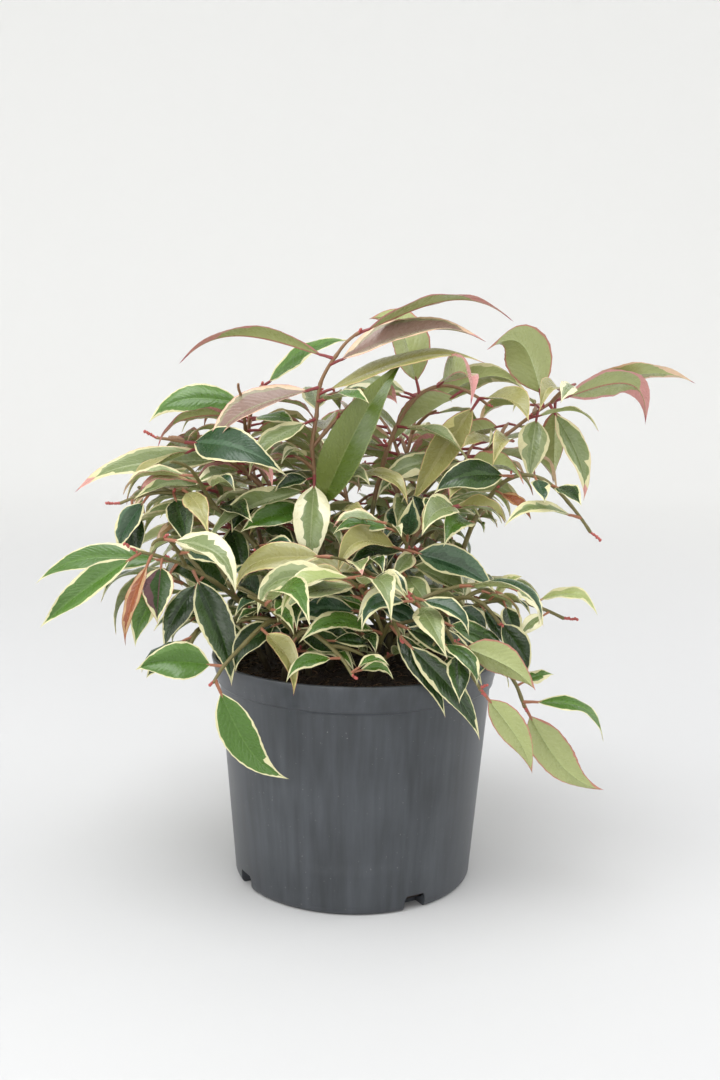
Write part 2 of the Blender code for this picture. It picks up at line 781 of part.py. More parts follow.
def outward_from_axis(point):
    flat = Vector((point.x, point.y, 0))
    return flat.normalized() if flat.length > 10 * MM else Vector((0, -1, 0))


def rule_leaf(rng, limb, path, distance, side_sign, size):
    """A leaf set to one side of a twig, falling towards its tip, with its face up and outwards."""
    root = path.point(distance)
    along = path.direction(distance)
    spread = math.radians(rng.uniform(*NODE_SPREAD))
    heading = along * math.cos(spread) + path.side(distance) * side_sign * math.sin(spread)
    length = size * rng.uniform(*SIZE_SWING)
    reach = (heading - UP * rng.uniform(*FALL)).normalized() * length
    face = UP + outward_from_axis(root) * rng.uniform(*FACE_OUT)
    face.x += rng.uniform(-FACE_SWING, FACE_SWING)
    face.y += rng.uniform(-FACE_SWING, FACE_SWING)
    return Leaf(root, root + reach, rng.uniform(*LEAF_ARCH), face, RULE_WIDTH)


def try_rule_leaf(rng, limb, crowd, path, distance, side_sign, size):
    for attempt in range(TRIES):
        leaf = rule_leaf(rng, limb, path, distance, side_sign, size * (1 - SHRINK * attempt))
        if not leaf_in_crown(leaf) or hides_named(leaf, crowd):
            continue
        if leaf_fits(leaf, crowd):
            crowd.add(*leaf.mesh())
            limb.leaves.append(leaf)
            return


def side_twig(rng, limb, distance, side_sign, length_range):
    """A short twig from one node, out to one side and a little up."""
    root = limb.path.point(distance)
    along = limb.path.direction(distance)
    spread = math.radians(rng.uniform(*SIDE_TWIG_SPREAD))
    heading = along * math.cos(spread) + limb.path.side(distance) * side_sign * math.sin(spread)
    length = rng.uniform(*length_range) * MM
    heading = (heading + UP * rng.uniform(*SIDE_TWIG_RISE)).normalized()
    tip = root + heading * length
    bend = UP * length * rng.uniform(*SIDE_TWIG_BEND)
    return Path(root, (root + tip) / 2 + bend, tip, ZIGZAG)


def side_twig_radius(twig):
    base, end = SIDE_TWIG_RADIUS
    return lambda distance: base + (end - base) * distance / twig.length


def twig_fits(twig, crowd):
    """Whether a twig and the room round it touch nothing, from a little way out of its stem."""
    guard = tube_rings(twig, SIDE_TWIG_START, twig.length, 3, 4, lambda distance: SIDE_TWIG_GUARD)
    points, faces = loft(guard)
    if not under_dome(twig.points[-1]) or any(hits_pot(p, POT_CLEARANCE) for p in points):
        return False
    if twig.points[-1].z < twig.points[0].z - SIDE_TWIG_DROP or in_open_place(twig.points[-1]):
        return False
    return not crowd.touches(points, faces)


def grow_side_twig(rng, limb, crowd, distance, side_sign):
    for _ in range(TRIES):
        twig = side_twig(rng, limb, distance, side_sign, SIDE_TWIG_LENGTH)
        if twig_fits(twig, crowd):
            crowd.add(*loft(tube_rings(twig, 0, twig.length, 3, 4, side_twig_radius(twig))))
            limb.twigs.append(twig)
            return


def grow():
    """The whole plant's limbs, the same on every run."""
    rng = random.Random(SEED)
    crowd = Crowd()
    limbs = [Limb(name) for name in STEMS]
    for limb in limbs:
        rings = tube_rings(limb.path, 0, limb.path.length, 6, 14, limb.radius_at)
        crowd.add(*loft(rings))
    grow_placed_leaves(limbs, crowd)
    for limb in limbs:
        nodes = () if limb.name in SINGLE_STEMS else SIDE_TWIG_NODES
        for node in nodes:
            distance = limb.bare + FIRST_NODE + node * NODE_GAP
            if distance < limb.path.length - SIDE_TWIG_ROOM:
                grow_side_twig(rng, limb, crowd, distance, 1 if node % 4 == 0 else -1)
    for limb in limbs:
        distance = limb.bare + FIRST_NODE
        end = limb.taken_end if limb.name in SINGLE_STEMS else limb.path.length - 2 * MM
        side_sign = 1
        while distance < end:
            if all(abs(distance - taken) > TAKEN_ROOM for taken in limb.taken):
                size = LEAF_LONG - (LEAF_LONG - LEAF_SHORT) * TIPWARD_LOSS * distance / limb.path.length
                try_rule_leaf(rng, limb, crowd, limb.path, distance, side_sign, size)
            side_sign = -side_sign
            distance += NODE_GAP
        leafy = []
        for twig in limb.twigs:
            before = len(limb.leaves)
            for number in range(SIDE_TWIG_LEAVES):
                share = (number + 0.9) / SIDE_TWIG_LEAVES
                place = min(share, 0.98) * twig.length
                sign = 1 if number % 2 else -1
                try_rule_leaf(rng, limb, crowd, twig, place, sign, SIDE_TWIG_LEAF)
            if len(limb.leaves) > before:
                leafy.append(twig)
        limb.twigs = leafy
    return limbs


# Boughs and masses


def apply_modifiers(thing):
    """Replace an object's mesh by what its modifiers make of it."""
    bpy.context.view_layer.update()
    graph = bpy.context.evaluated_depsgraph_get()
    made = bpy.data.meshes.new_from_object(thing.evaluated_get(graph))
    thing.modifiers.clear()
    thing.data = made


def make_bough(limb, material):
    rings = tube_rings(limb.path, 0, limb.bare, BOUGH_SIDES, BOUGH_STEPS, limb.radius_at, flat_foot=True)
    points, faces = loft(rings)
    solid("bough_" + limb.name, points, faces, material, smooth=True)


def make_mass(limb, material):
    """Join the stem's leafy end, its side twigs and its leaves into one closed solid."""
    start = limb.bare + GAP
    end = limb.path.length
    steps = max(4, round((end - start) / TWIG_STEP))
    rings = tube_rings(limb.path, start, end, TWIG_SIDES, steps, limb.radius_at)
    stem = solid("foliage_" + limb.name, *loft(rings), material)
    group = bpy.data.collections.new("parts of " + limb.name)
    bpy.context.scene.collection.children.link(group)
    shapes = []
    for twig in limb.twigs:
        shapes.append(loft(tube_rings(twig, 0, twig.length, TWIG_SIDES, 4, side_twig_radius(twig))))
    shapes.extend(leaf.mesh() for leaf in limb.leaves)
    for points, faces in shapes:
        piece = solid("piece", points, faces, material)
        bpy.context.collection.objects.unlink(piece)
        group.objects.link(piece)
    union = stem.modifiers.new("join", "BOOLEAN")
    union.operation = "UNION"
    union.operand_type = "COLLECTION"
    union.collection = group
    union.solver = "EXACT"
    apply_modifiers(stem)
    for piece in list(group.objects):
        bpy.data.objects.remove(piece, do_unlink=True)
    bpy.data.collections.remove(group)


def main():
    clear_scene()
    make_pot()
    make_soil()
    bark = finish("stem bark", (0.12, 0.06, 0.035), 0.6)
    foliage = finish("variegated leaf", (0.2, 0.3, 0.12), 0.45)
    for limb in grow():
        make_bough(limb, bark)
        make_mass(limb, foliage)


main()
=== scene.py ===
"""The looks of a potted white water leucothoe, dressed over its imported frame.

Every limb is grown again by the same rule as the solids it stands for, and the rule is then carried on
to finer twigs, small leaves, leaf stalks and buds. Sizes are in metres, +Z is up, the front faces -Y.
"""

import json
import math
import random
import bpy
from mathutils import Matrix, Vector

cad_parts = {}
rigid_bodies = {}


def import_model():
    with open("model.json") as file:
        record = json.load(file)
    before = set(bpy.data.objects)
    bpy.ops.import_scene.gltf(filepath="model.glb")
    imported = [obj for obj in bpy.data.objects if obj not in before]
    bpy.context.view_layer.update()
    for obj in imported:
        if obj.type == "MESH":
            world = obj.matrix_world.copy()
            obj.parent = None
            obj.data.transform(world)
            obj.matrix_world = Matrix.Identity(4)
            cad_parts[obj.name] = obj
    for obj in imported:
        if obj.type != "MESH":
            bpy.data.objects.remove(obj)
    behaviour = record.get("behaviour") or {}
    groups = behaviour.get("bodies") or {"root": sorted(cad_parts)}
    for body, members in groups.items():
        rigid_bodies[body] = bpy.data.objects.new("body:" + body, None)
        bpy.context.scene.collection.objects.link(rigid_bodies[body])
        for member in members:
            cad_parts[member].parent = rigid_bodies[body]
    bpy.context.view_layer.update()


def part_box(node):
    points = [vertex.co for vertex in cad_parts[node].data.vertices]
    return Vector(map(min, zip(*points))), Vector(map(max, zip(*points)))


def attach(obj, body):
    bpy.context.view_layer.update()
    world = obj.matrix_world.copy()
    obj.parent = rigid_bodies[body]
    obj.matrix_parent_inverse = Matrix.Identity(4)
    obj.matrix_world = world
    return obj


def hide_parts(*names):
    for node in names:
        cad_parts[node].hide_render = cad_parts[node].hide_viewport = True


bl_info = {
    "name": "Potted variegated shrub",
    "version": (1, 0, 0),
    "blender": (4, 5, 0),
    "location": "View3D > Sidebar > Shrub",
    "description": "Builds the looks of an arching evergreen shrub in a nursery pot",
    "category": "Add Mesh",
}

import bpy
import numpy as np
from mathutils import Matrix, Vector, noise
from mathutils.bvhtree import BVHTree

for default_thing in list(bpy.data.objects):
    bpy.data.objects.remove(default_thing, do_unlink=True)
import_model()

MM = 0.001
GAP = 0.3 * MM
UP = Vector((0, 0, 1))
FRONT = Vector((0, -1, 0))

# Pot
POT_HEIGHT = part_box("pot")[1].z
RIM_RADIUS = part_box("pot")[1].x
BASE_RADIUS = 64.3 * MM
SHOULDER_RADIUS = 73.6 * MM
BAND_HEIGHT = 14 * MM
BAND_STEP = 1.3 * MM
WALL = 1.9 * MM
FLOOR = 3.5 * MM
FOOT_ROUND = 2.5 * MM
PANEL_HALF_ANGLE = math.radians(22.5)
PANEL_LOW = 24 * MM
PANEL_DEPTH = 0.8 * MM
PANEL_EDGE = 0.9 * MM
PANEL_EDGE_ANGLE = math.radians(0.9)
POT_CREASE = 32
WALL_ROWS = 40
FOOT_STEPS = 5
NOTCHES = 4
FIRST_NOTCH = math.radians(-150)
NOTCH_WIDTH = 13 * MM
NOTCH_HEIGHT = 8 * MM
NOTCH_INWARDS = 9 * MM
NOTCH_OUTWARDS = 6 * MM
DUST_COLOUR = (0.3, 0.3, 0.28, 1.0)

# Compost
SOIL_EDGE = 111.5 * MM
SOIL_RISE = 3.5 * MM
SOIL_SUNK = 0.8 * MM
SOIL_RINGS = 44
SOIL_SECTORS = 120
# Painted shade on the stem bark near the compost: how far above the compost's edge it reaches, and its dark
# colour
FOOT_SHADOW_REACH = 42 * MM
FOOT_SHADOW_COLOUR = (46, 36, 25)
LUMP_SCALE = 90
LUMP_SHARE = 0.6
PEAT_STOPS = (
    (0.3, (0.006, 0.004, 0.003, 1)),
    (0.55, (0.03, 0.017, 0.01, 1)),
    (0.8, (0.11, 0.065, 0.035, 1)),
)
# Least and greatest size, in millimetres
CRUMB_SIZE = ((0.35, 0.3, 0.2), (1.5, 1.1, 0.8))
FIBRE_SIZE = ((3, 3, 3), (9, 8, 7))

# Stems: where each leaves the compost, a point half way along, its tip, all in millimetres, and the
# share of its length that is bare
STEMS = {
    "centre": ((-6, 0), (-24, -5, 236), (-1, -15, 291), 0.42),
    "arch": ((2, 16), (21, 10, 245), (69, 5, 256), 0.46),
    "right_tall": ((24, 5), (36, 0, 193), (115, 20, 264), 0.38),
    "right_droop": ((44, 14), (74, -15, 214), (119, -30, 192), 0.46),
    "left_high": ((-14, 14), (-46, 4, 203), (-106, -10, 236), 0.50),
    "left_tall": ((-34, 18), (-60, 22, 210), (-54, 18, 264), 0.52),
    "left_mid": ((-22, -4), (-68, -14, 195), (-121, -30, 203), 0.42),
    "left_low": ((-33, -10), (-68, -28, 159), (-109, -50, 181), 0.40),
    "left_upright": ((-46, 6), (-64, 6, 172), (-78, 0, 213), 0.44),
    "left_skirt": ((-46, -16), (-66, -32, 143), (-88, -46, 131), 0.36),
    "front_left": ((-24, -28), (-38, -47, 147), (-67, -80, 123), 0.30),
    "front_low": ((-36, -38), (-25, -55, 143), (-1, -79, 127), 0.30),
    "front_drape": ((-14, -14), (22, -46, 159), (59, -86, 122), 0.28),
    "front_short": ((8, -34), (16, -52, 146), (22, -70, 143), 0.40),
    "inner": ((16, -12), (22, -20, 160), (27, -24, 194), 0.40),
    "inner_left": ((-37, -26), (-34, -26, 158), (-50, -40, 180), 0.40),
    "upper_back": ((14, 30), (26, 42, 222), (44, 58, 262), 0.42),
    "inner_back": ((8, 30), (-4, 24, 158), (-14, 36, 188), 0.36),
    "right_inner": ((31, 19), (41, 12, 144), (60, 24, 160), 0.36),
    "right_mid": ((30, -24), (49, -36, 156), (71, -57, 149), 0.34),
    "right_low": ((38, -2), (65, -20, 152), (107, -30, 147), 0.40),
    "right_bottom": ((42, -18), (64, -38, 134), (84, -60, 108), 0.42),
    "back_left": ((-24, 34), (-62, 70, 190), (-96, 104, 200), 0.40),
    "back_centre": ((-2, 42), (-8, 76, 206), (-14, 128, 214), 0.40),
    "back_right": ((22, 34), (38, 70, 196), (54, 112, 204), 0.40),
    "back_skirt_left": ((-42, 32), (-76, 58, 160), (-112, 72, 150), 0.40),
    "back_skirt_right": ((44, 30), (56, 62, 150), (70, 92, 138), 0.40),
    "back_low": ((12, 54), (20, 84, 152), (30, 114, 138), 0.36),
    "back_low_left": ((-18, 52), (-36, 84, 150), (-56, 110, 142), 0.36),
}
ROOT_RADIUS = 1.8 * MM
TIP_RADIUS = 0.8 * MM
ZIGZAG = 0.8 * MM
NODE_GAP = 17 * MM
SWELL_LENGTH = 1.6 * MM
SWELL = 0.28
# Beyond a twig's tip, in its radii: how far, and how thick
BLUNT_END = ((0.7, 0.75), (1, 0.3))
PATH_STEPS = 48
# Sides and steps of a tube in the crowd
STEM_TUBE = (6, 14)
TWIG_TUBE = (3, 4)
# Bark: sides of its tubes, how fine its ridges are, and how high a twig's are beside a stem's
STEM_SIDES = 14
TWIG_SIDES = 9
STALK_SIDES = 7
STEM_GRAIN = 500.0
TWIG_GRAIN = 600.0
TWIG_RELIEF = 0.6

# Leaves
LEAF_LONG = 78 * MM
LEAF_SHORT = 50 * MM
LEAF_WIDTH = 9.5 * MM
LEAF_WIDENING = 0.09
LEAF_BROADEST = 0.36
PETIOLE = 7 * MM
PETIOLE_RADIUS = 0.9 * MM
# Along a stalk: share of its length, radius in millimetres
STALK = ((0.0, 1.05), (0.35, 0.9), (0.7, 0.8), (1.0, 0.75), (1.3, 0.4))
STALK_SINK = 0.25 * MM
STALK_LEAST = 0.45
LEAF_SPECULAR = 0.55
BLADE_UNIT = 10 * MM
STALK_SHOULDER = math.sqrt(3) / 2
KEEL = 0.8 * MM
LIFT_SCALE = 2.1
FOLD = 0.12
ROUND_BASE = 0.85
LONG_TIP = 1.4
BLADE_STATIONS = (0.14, 0.38, 0.7)
LEAF_CLEARANCE = 0.45 * MM
STEM_CLEARANCE = 3.2 * MM
POT_CLEARANCE = 1.5 * MM
TRIES = 14
SHRINK = 0.04

# Leaves that give the crown its outline: share of the stem's length, reach of the tip from the stem in
# millimetres, arch as a share of length, how far the upper face turns to the front in degrees, width, tone
PLACED = {
    "centre": (
        (1.00, 82, 4, 8, 0.17, -12, 1.25, "blush"),
        (0.90, -81, 2, -4, 0.17, -12, 1.15, "blush"),
        (0.88, 80, -12, 12, 0.13, 35, 1.35, "plum"),
        (0.79, 86, -10, 17, 0.11, 24, 1.2, "olive"),
        (0.81, -57, -12, -39, 0.16, 30, 1.2, "plum"),
        (0.72, -33, -24, -30, 0.15, 34, 1.0, "sage"),
        (0.73, -5, 44, 15, 0.08, 0, 1.0, "sage"),
        (0.77, 27, -38, -1, 0.08, 22, 1.0, "fresh"),
        (0.41, 46, -6, 84, 0.05, 60, 1.2, "plain"),
        (0.52, -58, -16, -34, 0.13, 34, 1.0, "sage"),
        (0.56, -1, -20, -52, 0.08, 80, 1.35, "cream"),
        (0.60, -16, -16, -2, 0.30, 15, 1.0, "cream"),
        (0.55, -21, -10, -7, 0.08, 52, 1.0, "deep"),
        (0.46, -37, -30, -10, 0.08, 60, 1.1, "fresh"),
    ),
    "arch": (
        (0.79, -28, 30, 42, 0.24, -58, 1.7, "olive"),
        (0.97, 22, -34, -12, 0.16, 40, 1.5, "olive"),
        (0.97, -36, -12, -57, 0.01, 62, 1.05, "olive"),
        (0.92, -38, 18, -30, 0.04, -28, 1.4, "olive"),
        (0.68, 39, -18, -20, 0.14, 14, 1.0, "sage"),
        (0.62, -36, -20, -1, 0.08, 24, 1.0, "sage"),
        (0.58, 31, 34, -4, 0.08, -20, 1.0, "olive"),
        (0.52, 44, 10, -8, 0.15, 20, 1.0, "sage"),
        (0.78, -43, 6, -1, 0.20, 34, 1.0, "cream"),
    ),
    "right_tall": (
        (0.91, -35, -26, 29, 0.34, -76, 1.85, "olive"),
        (1.00, 69, -4, 6, 0.11, -50, 1.0, "tinged"),
        (0.94, 55, 14, -12, 0.33, -44, 1.45, "blush"),
        (0.85, 35, -20, -6, 0.22, 6, 0.85, "sage"),
        (0.93, 18, -14, -52, 0.10, 52, 0.95, "tinged"),
        (0.89, -7, -24, -37, 0.08, 72, 1.3, "sage"),
        (0.95, 4, 20, -47, 0.08, -60, 1.0, "olive"),
        (0.65, -53, -10, -22, 0.20, 48, 1.0, "sage"),
        (0.75, -23, -28, -4, 0.08, 30, 1.0, "olive"),
        (0.42, -7, -18, 17, 0.08, 60, 1.0, "blue"),
        (0.90, -18, -20, -2, 0.30, 30, 0.9, "sage"),
    ),
    "right_droop": (
        (0.70, -43, -16, -9, 0.13, 62, 1.25, "deep"),
        (0.82, 10, -28, -8, 0.08, 44, 1.0, "deep"),
        (0.95, -41, -14, -4, 0.18, 26, 0.8, "sage"),
        (0.76, 2, -24, -12, 0.08, 50, 1.0, "blue"),
        (0.62, 16, -22, -13, 0.08, 40, 0.75, "rust"),
    ),
    "left_high": (
        (0.91, 56, -24, -16, 0.11, 66, 1.4, "blue"),
        (0.76, -81, -8, -18, 0.10, 50, 1.0, "tinged"),
        (0.86, -41, 6, -32, 0.14, 8, 1.0, "olive"),
        (0.70, -22, -30, -6, 0.08, 34, 1.0, "cream"),
        (0.62, -14, -24, -22, 0.08, 60, 1.0, "deep"),
    ),
    "left_tall": (
        (1.00, 50, -18, 26, 0.08, 44, 1.1, "fresh"),
        (0.93, -56, -8, -11, 0.16, 60, 1.35, "fresh"),
        (0.88, 27, -30, -3, 0.08, 30, 1.0, "fresh"),
        (0.78, -16, -24, -7, 0.08, 30, 1.0, "sage"),
    ),
    "left_mid": (
        (0.96, 3, -4, -34, 0.06, 30, 1.1, "deep"),
        (0.82, 11, -24, -26, 0.08, 66, 1.1, "deep"),
        (0.70, -40, -16, -14, 0.06, 12, 1.0, "sage"),
        (0.90, -14, -10, -30, 0.08, 44, 1.0, "blue"),
    ),
    "left_low": (
        (0.83, -67, -6, -12, 0.12, 54, 1.0, "fresh"),
        (0.98, -48, -10, -37, 0.03, 50, 1.0, "fresh"),
        (0.72, 22, -18, -56, 0.08, 78, 1.15, "deep"),
        (0.80, -20, -8, -42, 0.08, 60, 1.1, "fresh"),
        (0.66, -18, -14, -36, 0.08, 60, 1.0, "deep"),
        (0.88, 0, -14, -31, 0.08, 60, 1.3, "dusk"),
        (0.93, -11, -12, -44, 0.06, 30, 0.55, "rust"),
    ),
    "left_upright": (
        (0.99, -44, -10, -21, 0.22, 20, 1.0, "tan"),
        (0.94, -40, -26, -3, 0.13, 30, 1.0, "sage"),
        (0.74, -40, -14, -18, 0.24, 22, 1.0, "tan"),
        (0.78, 11, -22, -30, 0.08, 64, 1.0, "deep"),
        (0.88, 20, -28, -8, 0.08, 50, 1.0, "deep"),
    ),
    "left_skirt": (
        (0.97, -16, -16, -13, 0.08, 50, 1.0, "deep"),
        (0.58, 10, -26, -14, 0.08, 66, 1.0, "deep"),
    ),
    "front_left": (
        (1.00, 36, -4, -47, -0.12, 82, 1.2, "fresh"),
        (0.90, -41, -6, -1, 0.08, 64, 1.4, "fresh"),
        (0.60, 18, -24, -28, 0.24, 40, 0.8, "olive"),
        (0.42, -22, -22, -22, 0.20, 66, 1.0, "deep"),
        (0.39, 38, -16, -3, -0.19, 50, 0.9, "deep"),
    ),
    "front_low": (
        (0.86, -26, -6, -11, 0.20, 40, 0.8, "fresh"),
        (0.98, 18, -10, 6, 0.21, 34, 0.8, "fresh"),
        (1.00, 20, -4, -2, 0.24, 40, 0.8, "fresh"),
        (0.40, -7, -4, -14, 0.08, 60, 1.0, "sage"),
        (0.69, 24, 10, -7, 0.13, 40, 0.9, "deep"),
    ),
    "front_drape": (
        (1.00, 26, 0, -41, 0.06, -72, 1.05, "olive"),
        (0.80, 38, -12, -20, 0.08, -62, 1.35, "olive"),
        (0.30, -42, -16, -6, 0.16, 58, 1.0, "blue"),
        (0.35, 22, -20, -12, 0.24, 58, 1.1, "blue"),
        (0.58, 14, -28, -22, 0.08, 60, 1.0, "sage"),
        (0.82, 0, -22, -22, 0.10, 40, 1.0, "deep"),
    ),
    "front_short": (
        (1.00, 38, -16, -46, 0.08, 64, 0.85, "deep"),
        (0.67, 27, -22, -41, 0.08, 60, 0.85, "deep"),
    ),
    "inner": (
        (0.83, 45, -20, -19, 0.08, 62, 1.2, "blue"),
        (0.88, 2, -14, 25, 0.08, 66, 1.0, "blue"),
        (0.69, 14, -28, -18, 0.08, 54, 1.0, "sage"),
        (0.75, 40, 8, -25, 0.07, 40, 1.25, "sage"),
        (0.82, -35, -22, -11, 0.32, 36, 1.25, "olive"),
    ),
    "right_mid": (
        (0.54, 18, -10, -17, 0.25, 50, 0.9, "blue"),
        (0.79, 14, -6, -22, 0.03, 50, 0.9, "deep"),
        (0.94, 16, -10, -26, 0.09, 60, 1.1, "deep"),
        (0.49, 12, 8, -19, 0.08, 50, 1.0, "deep"),
    ),
    "right_low": (
        (0.80, 34, -10, -4, 0.26, 16, 1.0, "lime"),
        (0.92, -17, -12, -12, 0.08, 56, 1.0, "cream"),
        (0.66, 5, -20, -20, 0.08, 66, 1.0, "deep"),
        (0.58, 15, -16, 16, 0.08, 40, 1.0, "lime"),
    ),
    "right_bottom": (
        (0.99, 41, -4, -42, -0.12, -64, 1.35, "olive"),
        (0.97, 38, -12, -16, 0.26, 20, 0.9, "fresh"),
        (0.86, 20, 8, 4, 0.10, 30, 1.1, "fresh"),
    ),
}

# Placed leaves are read from here, and one that touches something is moved along its line of sight,
# and bowed towards the front
VIEW_POINT = Vector((1.5, -590, 252.7)) * MM
EASES = (0, -6, 6, -12, 12, -18, 18, -24, 24, -30)
BOWS = (0.0, 0.1, 0.2)

# Leaves set by rule
RULE_WIDTH = 1.1
HIDING_SHARES = (0.35, 0.55, 0.75, 1.0)
# Gaps in the crown as seen from the front, in millimetres: across, up, half width, half height
OPEN_PLACES = (
    (100, 176, 36, 19),
    (120, 117, 34, 22),
    (128, 246, 20, 14),
    (-72, 112, 16, 12),
    (-58, 280, 10, 12),
    (-142, 203, 12, 14),
)
NODE_SPREAD = (48, 68)
FALL = (0.22, 0.64)
FACE_OUT = (0.3, 1.1)
FACE_SWING = 0.3
LEAF_ARCH = (0.1, 0.24)
SIZE_SWING = (0.86, 1.12)
TIPWARD_LOSS = 0.6
FIRST_NODE = 6 * MM
TAKEN_ROOM = 7 * MM
TIP_ROOM = 2 * MM
SINGLE_STEMS = ("arch", "right_droop", "right_low")
SIDE_TWIG_NODES = (0, 2, 4)
SIDE_TWIG_SPREAD = (40, 62)
SIDE_TWIG_RISE = (-0.1, 0.35)
SIDE_TWIG_BEND = (0.04, 0.14)
SIDE_TWIG_LENGTH = (38, 60)
SIDE_TWIG_DROP = 10 * MM
SIDE_TWIG_RADIUS = (1.15 * MM, 0.7 * MM)
SIDE_TWIG_GUARD = 1.9 * MM
SIDE_TWIG_START = 3.6 * MM
SIDE_TWIG_ROOM = 25 * MM
SIDE_TWIG_LEAVES = 4
# The first leaf's place in its quarter of the twig, and the last leaf's share of the whole
SIDE_TWIG_PLACES = (0.9, 0.98)
SIDE_TWIG_LEAF = 54 * MM
SEED = 11

# Crown
CROWN_RADIUS = 178 * MM
CROWN_DEPTH = 165 * MM
CROWN_TOP = 306 * MM
CROWN_LOW = 120 * MM
DOME_MIDDLE = 40 * MM
DOME_FALL_ACROSS = 3.1
DOME_FALL_BACK = 2.0

# Finer growth, which the solids leave out
FINER_SEED = 5
LOOKS_SEED = 23
TWIGLET_LENGTH = (12, 24)
SMALL_LEAF = (30, 48)
FINER_TRIES = 9
FINER_START = 0.12
FINER_WIDTH = 0.88
TWIGLET_GAP = 12 * MM
TWIGLET_ROOM = 8 * MM
# Small leaves: share of the twig's length, and side
TWIGLET_PLACES = ((0.5, 1), (0.75, -1), (0.98, 1))
TWIG_PLACES = ((0.35, 1), (0.6, -1), (0.8, 1))

# Buds
BUD_SHARE = 0.25
BUD_SIZE = 0.8 * MM
BUD_GAP = 1.0 * MM
# How far from its axil a string of buds starts, and how long it is, in millimetres
BUD_START = 0.9
BUD_STRING = (1.6, 3.4)
BUD_REACH = 2.5 * MM
LONG_BUD_REACH = 7 * MM
BUDDED_ENDS = ("left_high", "left_mid", "left_low", "right_droop", "right_low")

# Shades of the plant, red, green and blue from 0 to 255
SHADES = {
    "deep green": (33, 55, 20),
    "deep soft": (54, 78, 36),
    "forest green": (44, 71, 24),
    "forest soft": (64, 92, 42),
    "blue green": (44, 72, 44),
    "blue soft": (66, 95, 66),
    "leaf green": (72, 108, 34),
    "leaf soft": (86, 121, 48),
    "moss": (78, 97, 30),
    "moss soft": (108, 120, 58),
    "olive": (148, 145, 88),
    "olive soft": (166, 161, 110),
    "gold olive": (164, 147, 98),
    "gold soft": (182, 162, 118),
    "sage": (120, 134, 84),
    "sage soft": (144, 155, 110),
    "plum": (144, 118, 106),
    "plum soft": (150, 142, 114),
    "dusk": (96, 66, 70),
    "cream": (216, 210, 164),
    "ivory": (226, 221, 184),
    "straw": (200, 192, 128),
    "blush": (226, 194, 162),
    "pink": (208, 148, 142),
    "rose": (170, 84, 98),
    "coral": (180, 122, 104),
    "lime": (160, 172, 106),
    "celery": (162, 170, 112),
    "pale green": (146, 160, 102),
    "pale rib": (166, 176, 118),
    "red rib": (166, 112, 92),
    "tan": (176, 140, 98),
    "rust": (140, 80, 50),
    "rust soft": (158, 98, 66),
}

# Bark, stalks and buds: shade, roughness, and a lighter shade where there are two
BARKS = {
    "stem bark": ((84, 68, 46), 0.55, (132, 126, 82)),
    "young red bark": ((138, 104, 74), 0.5, None),
    "young olive bark": ((112, 104, 62), 0.5, None),
    "wine leaf stalk": ((138, 60, 62), 0.4, None),
    "tawny leaf stalk": ((158, 104, 78), 0.42, None),
    "bud": ((176, 88, 82), 0.4, None),
}

# Tones: heart, soft patches in it, margin, edge line, tip, point, underside and its midrib, then how wide
# the margin is in millimetres, how far the patches reach, how often it bays, and where the tip starts
TONES = {
    "deep": (
        "deep green, deep soft, cream, cream, cream, blush, pale green, pale rib", 0.65, 0.5, 0.15, 0.94,
    ),
    "forest": (
        "forest green, forest soft, cream, cream, cream, blush, pale green, pale rib", 0.65, 0.5, 0.2, 0.95,
    ),
    "blue": ("blue green, blue soft, cream, cream, cream, blush, celery, pale rib", 0.9, 0.6, 0.2, 0.94),
    "fresh": (
        "leaf green, leaf soft, cream, cream, cream, straw, pale green, pale rib", 0.85, 0.5, 0.25, 0.95,
    ),
    "plain": ("moss, moss soft, moss soft, moss soft, moss, moss, moss soft, celery", 0.5, 0.5, 0.0, 0.99),
    "sage": ("sage, sage soft, cream, cream, blush, pink, celery, pale rib", 1.4, 0.6, 0.5, 0.94),
    "olive": ("olive, olive soft, straw, coral, blush, rose, celery, pale rib", 0.55, 0.6, 0.15, 0.94),
    "tinged": ("sage, sage soft, cream, blush, pink, rose, celery, pale rib", 1.4, 0.6, 0.4, 0.82),
    "blush": ("gold olive, gold soft, pink, pink, pink, rose, celery, red rib", 0.9, 0.6, 0.3, 0.72),
    "plum": ("plum, plum soft, blush, pink, pink, rose, celery, red rib", 1.2, 0.7, 0.3, 0.88),
    "dusk": ("forest green, dusk, cream, coral, blush, rose, pale green, pale rib", 1.0, 0.6, 0.2, 0.92),
    "cream": ("sage, sage soft, ivory, cream, ivory, pink, celery, pale rib", 2.0, 0.5, 2.4, 0.9),
    "lime": ("lime, celery, cream, cream, cream, straw, celery, pale rib", 1.4, 0.5, 0.5, 0.95),
    "tan": ("olive, tan, blush, coral, coral, rose, celery, red rib", 1.2, 0.6, 0.5, 0.82),
    "rust": ("rust, rust soft, tan, rust, rust soft, rust, tan, rust", 1.2, 0.6, 0.4, 0.8),
}
LOW_TONES = {"deep": 30, "forest": 26, "blue": 16, "fresh": 18, "sage": 7, "cream": 3}
MIDDLE_TONES = {
    "deep": 4, "forest": 6, "blue": 7, "fresh": 12, "sage": 28, "olive": 18,
    "tinged": 11, "cream": 18, "lime": 8,
}
YOUNG_TONES = {"sage": 14, "olive": 24, "tinged": 20, "blush": 22, "plum": 10, "cream": 8, "fresh": 2}
TONES_BELOW = ((160 * MM, LOW_TONES), (212 * MM, MIDDLE_TONES), (400 * MM, YOUNG_TONES))
YOUNG_HEIGHT = 212 * MM


# Node trees


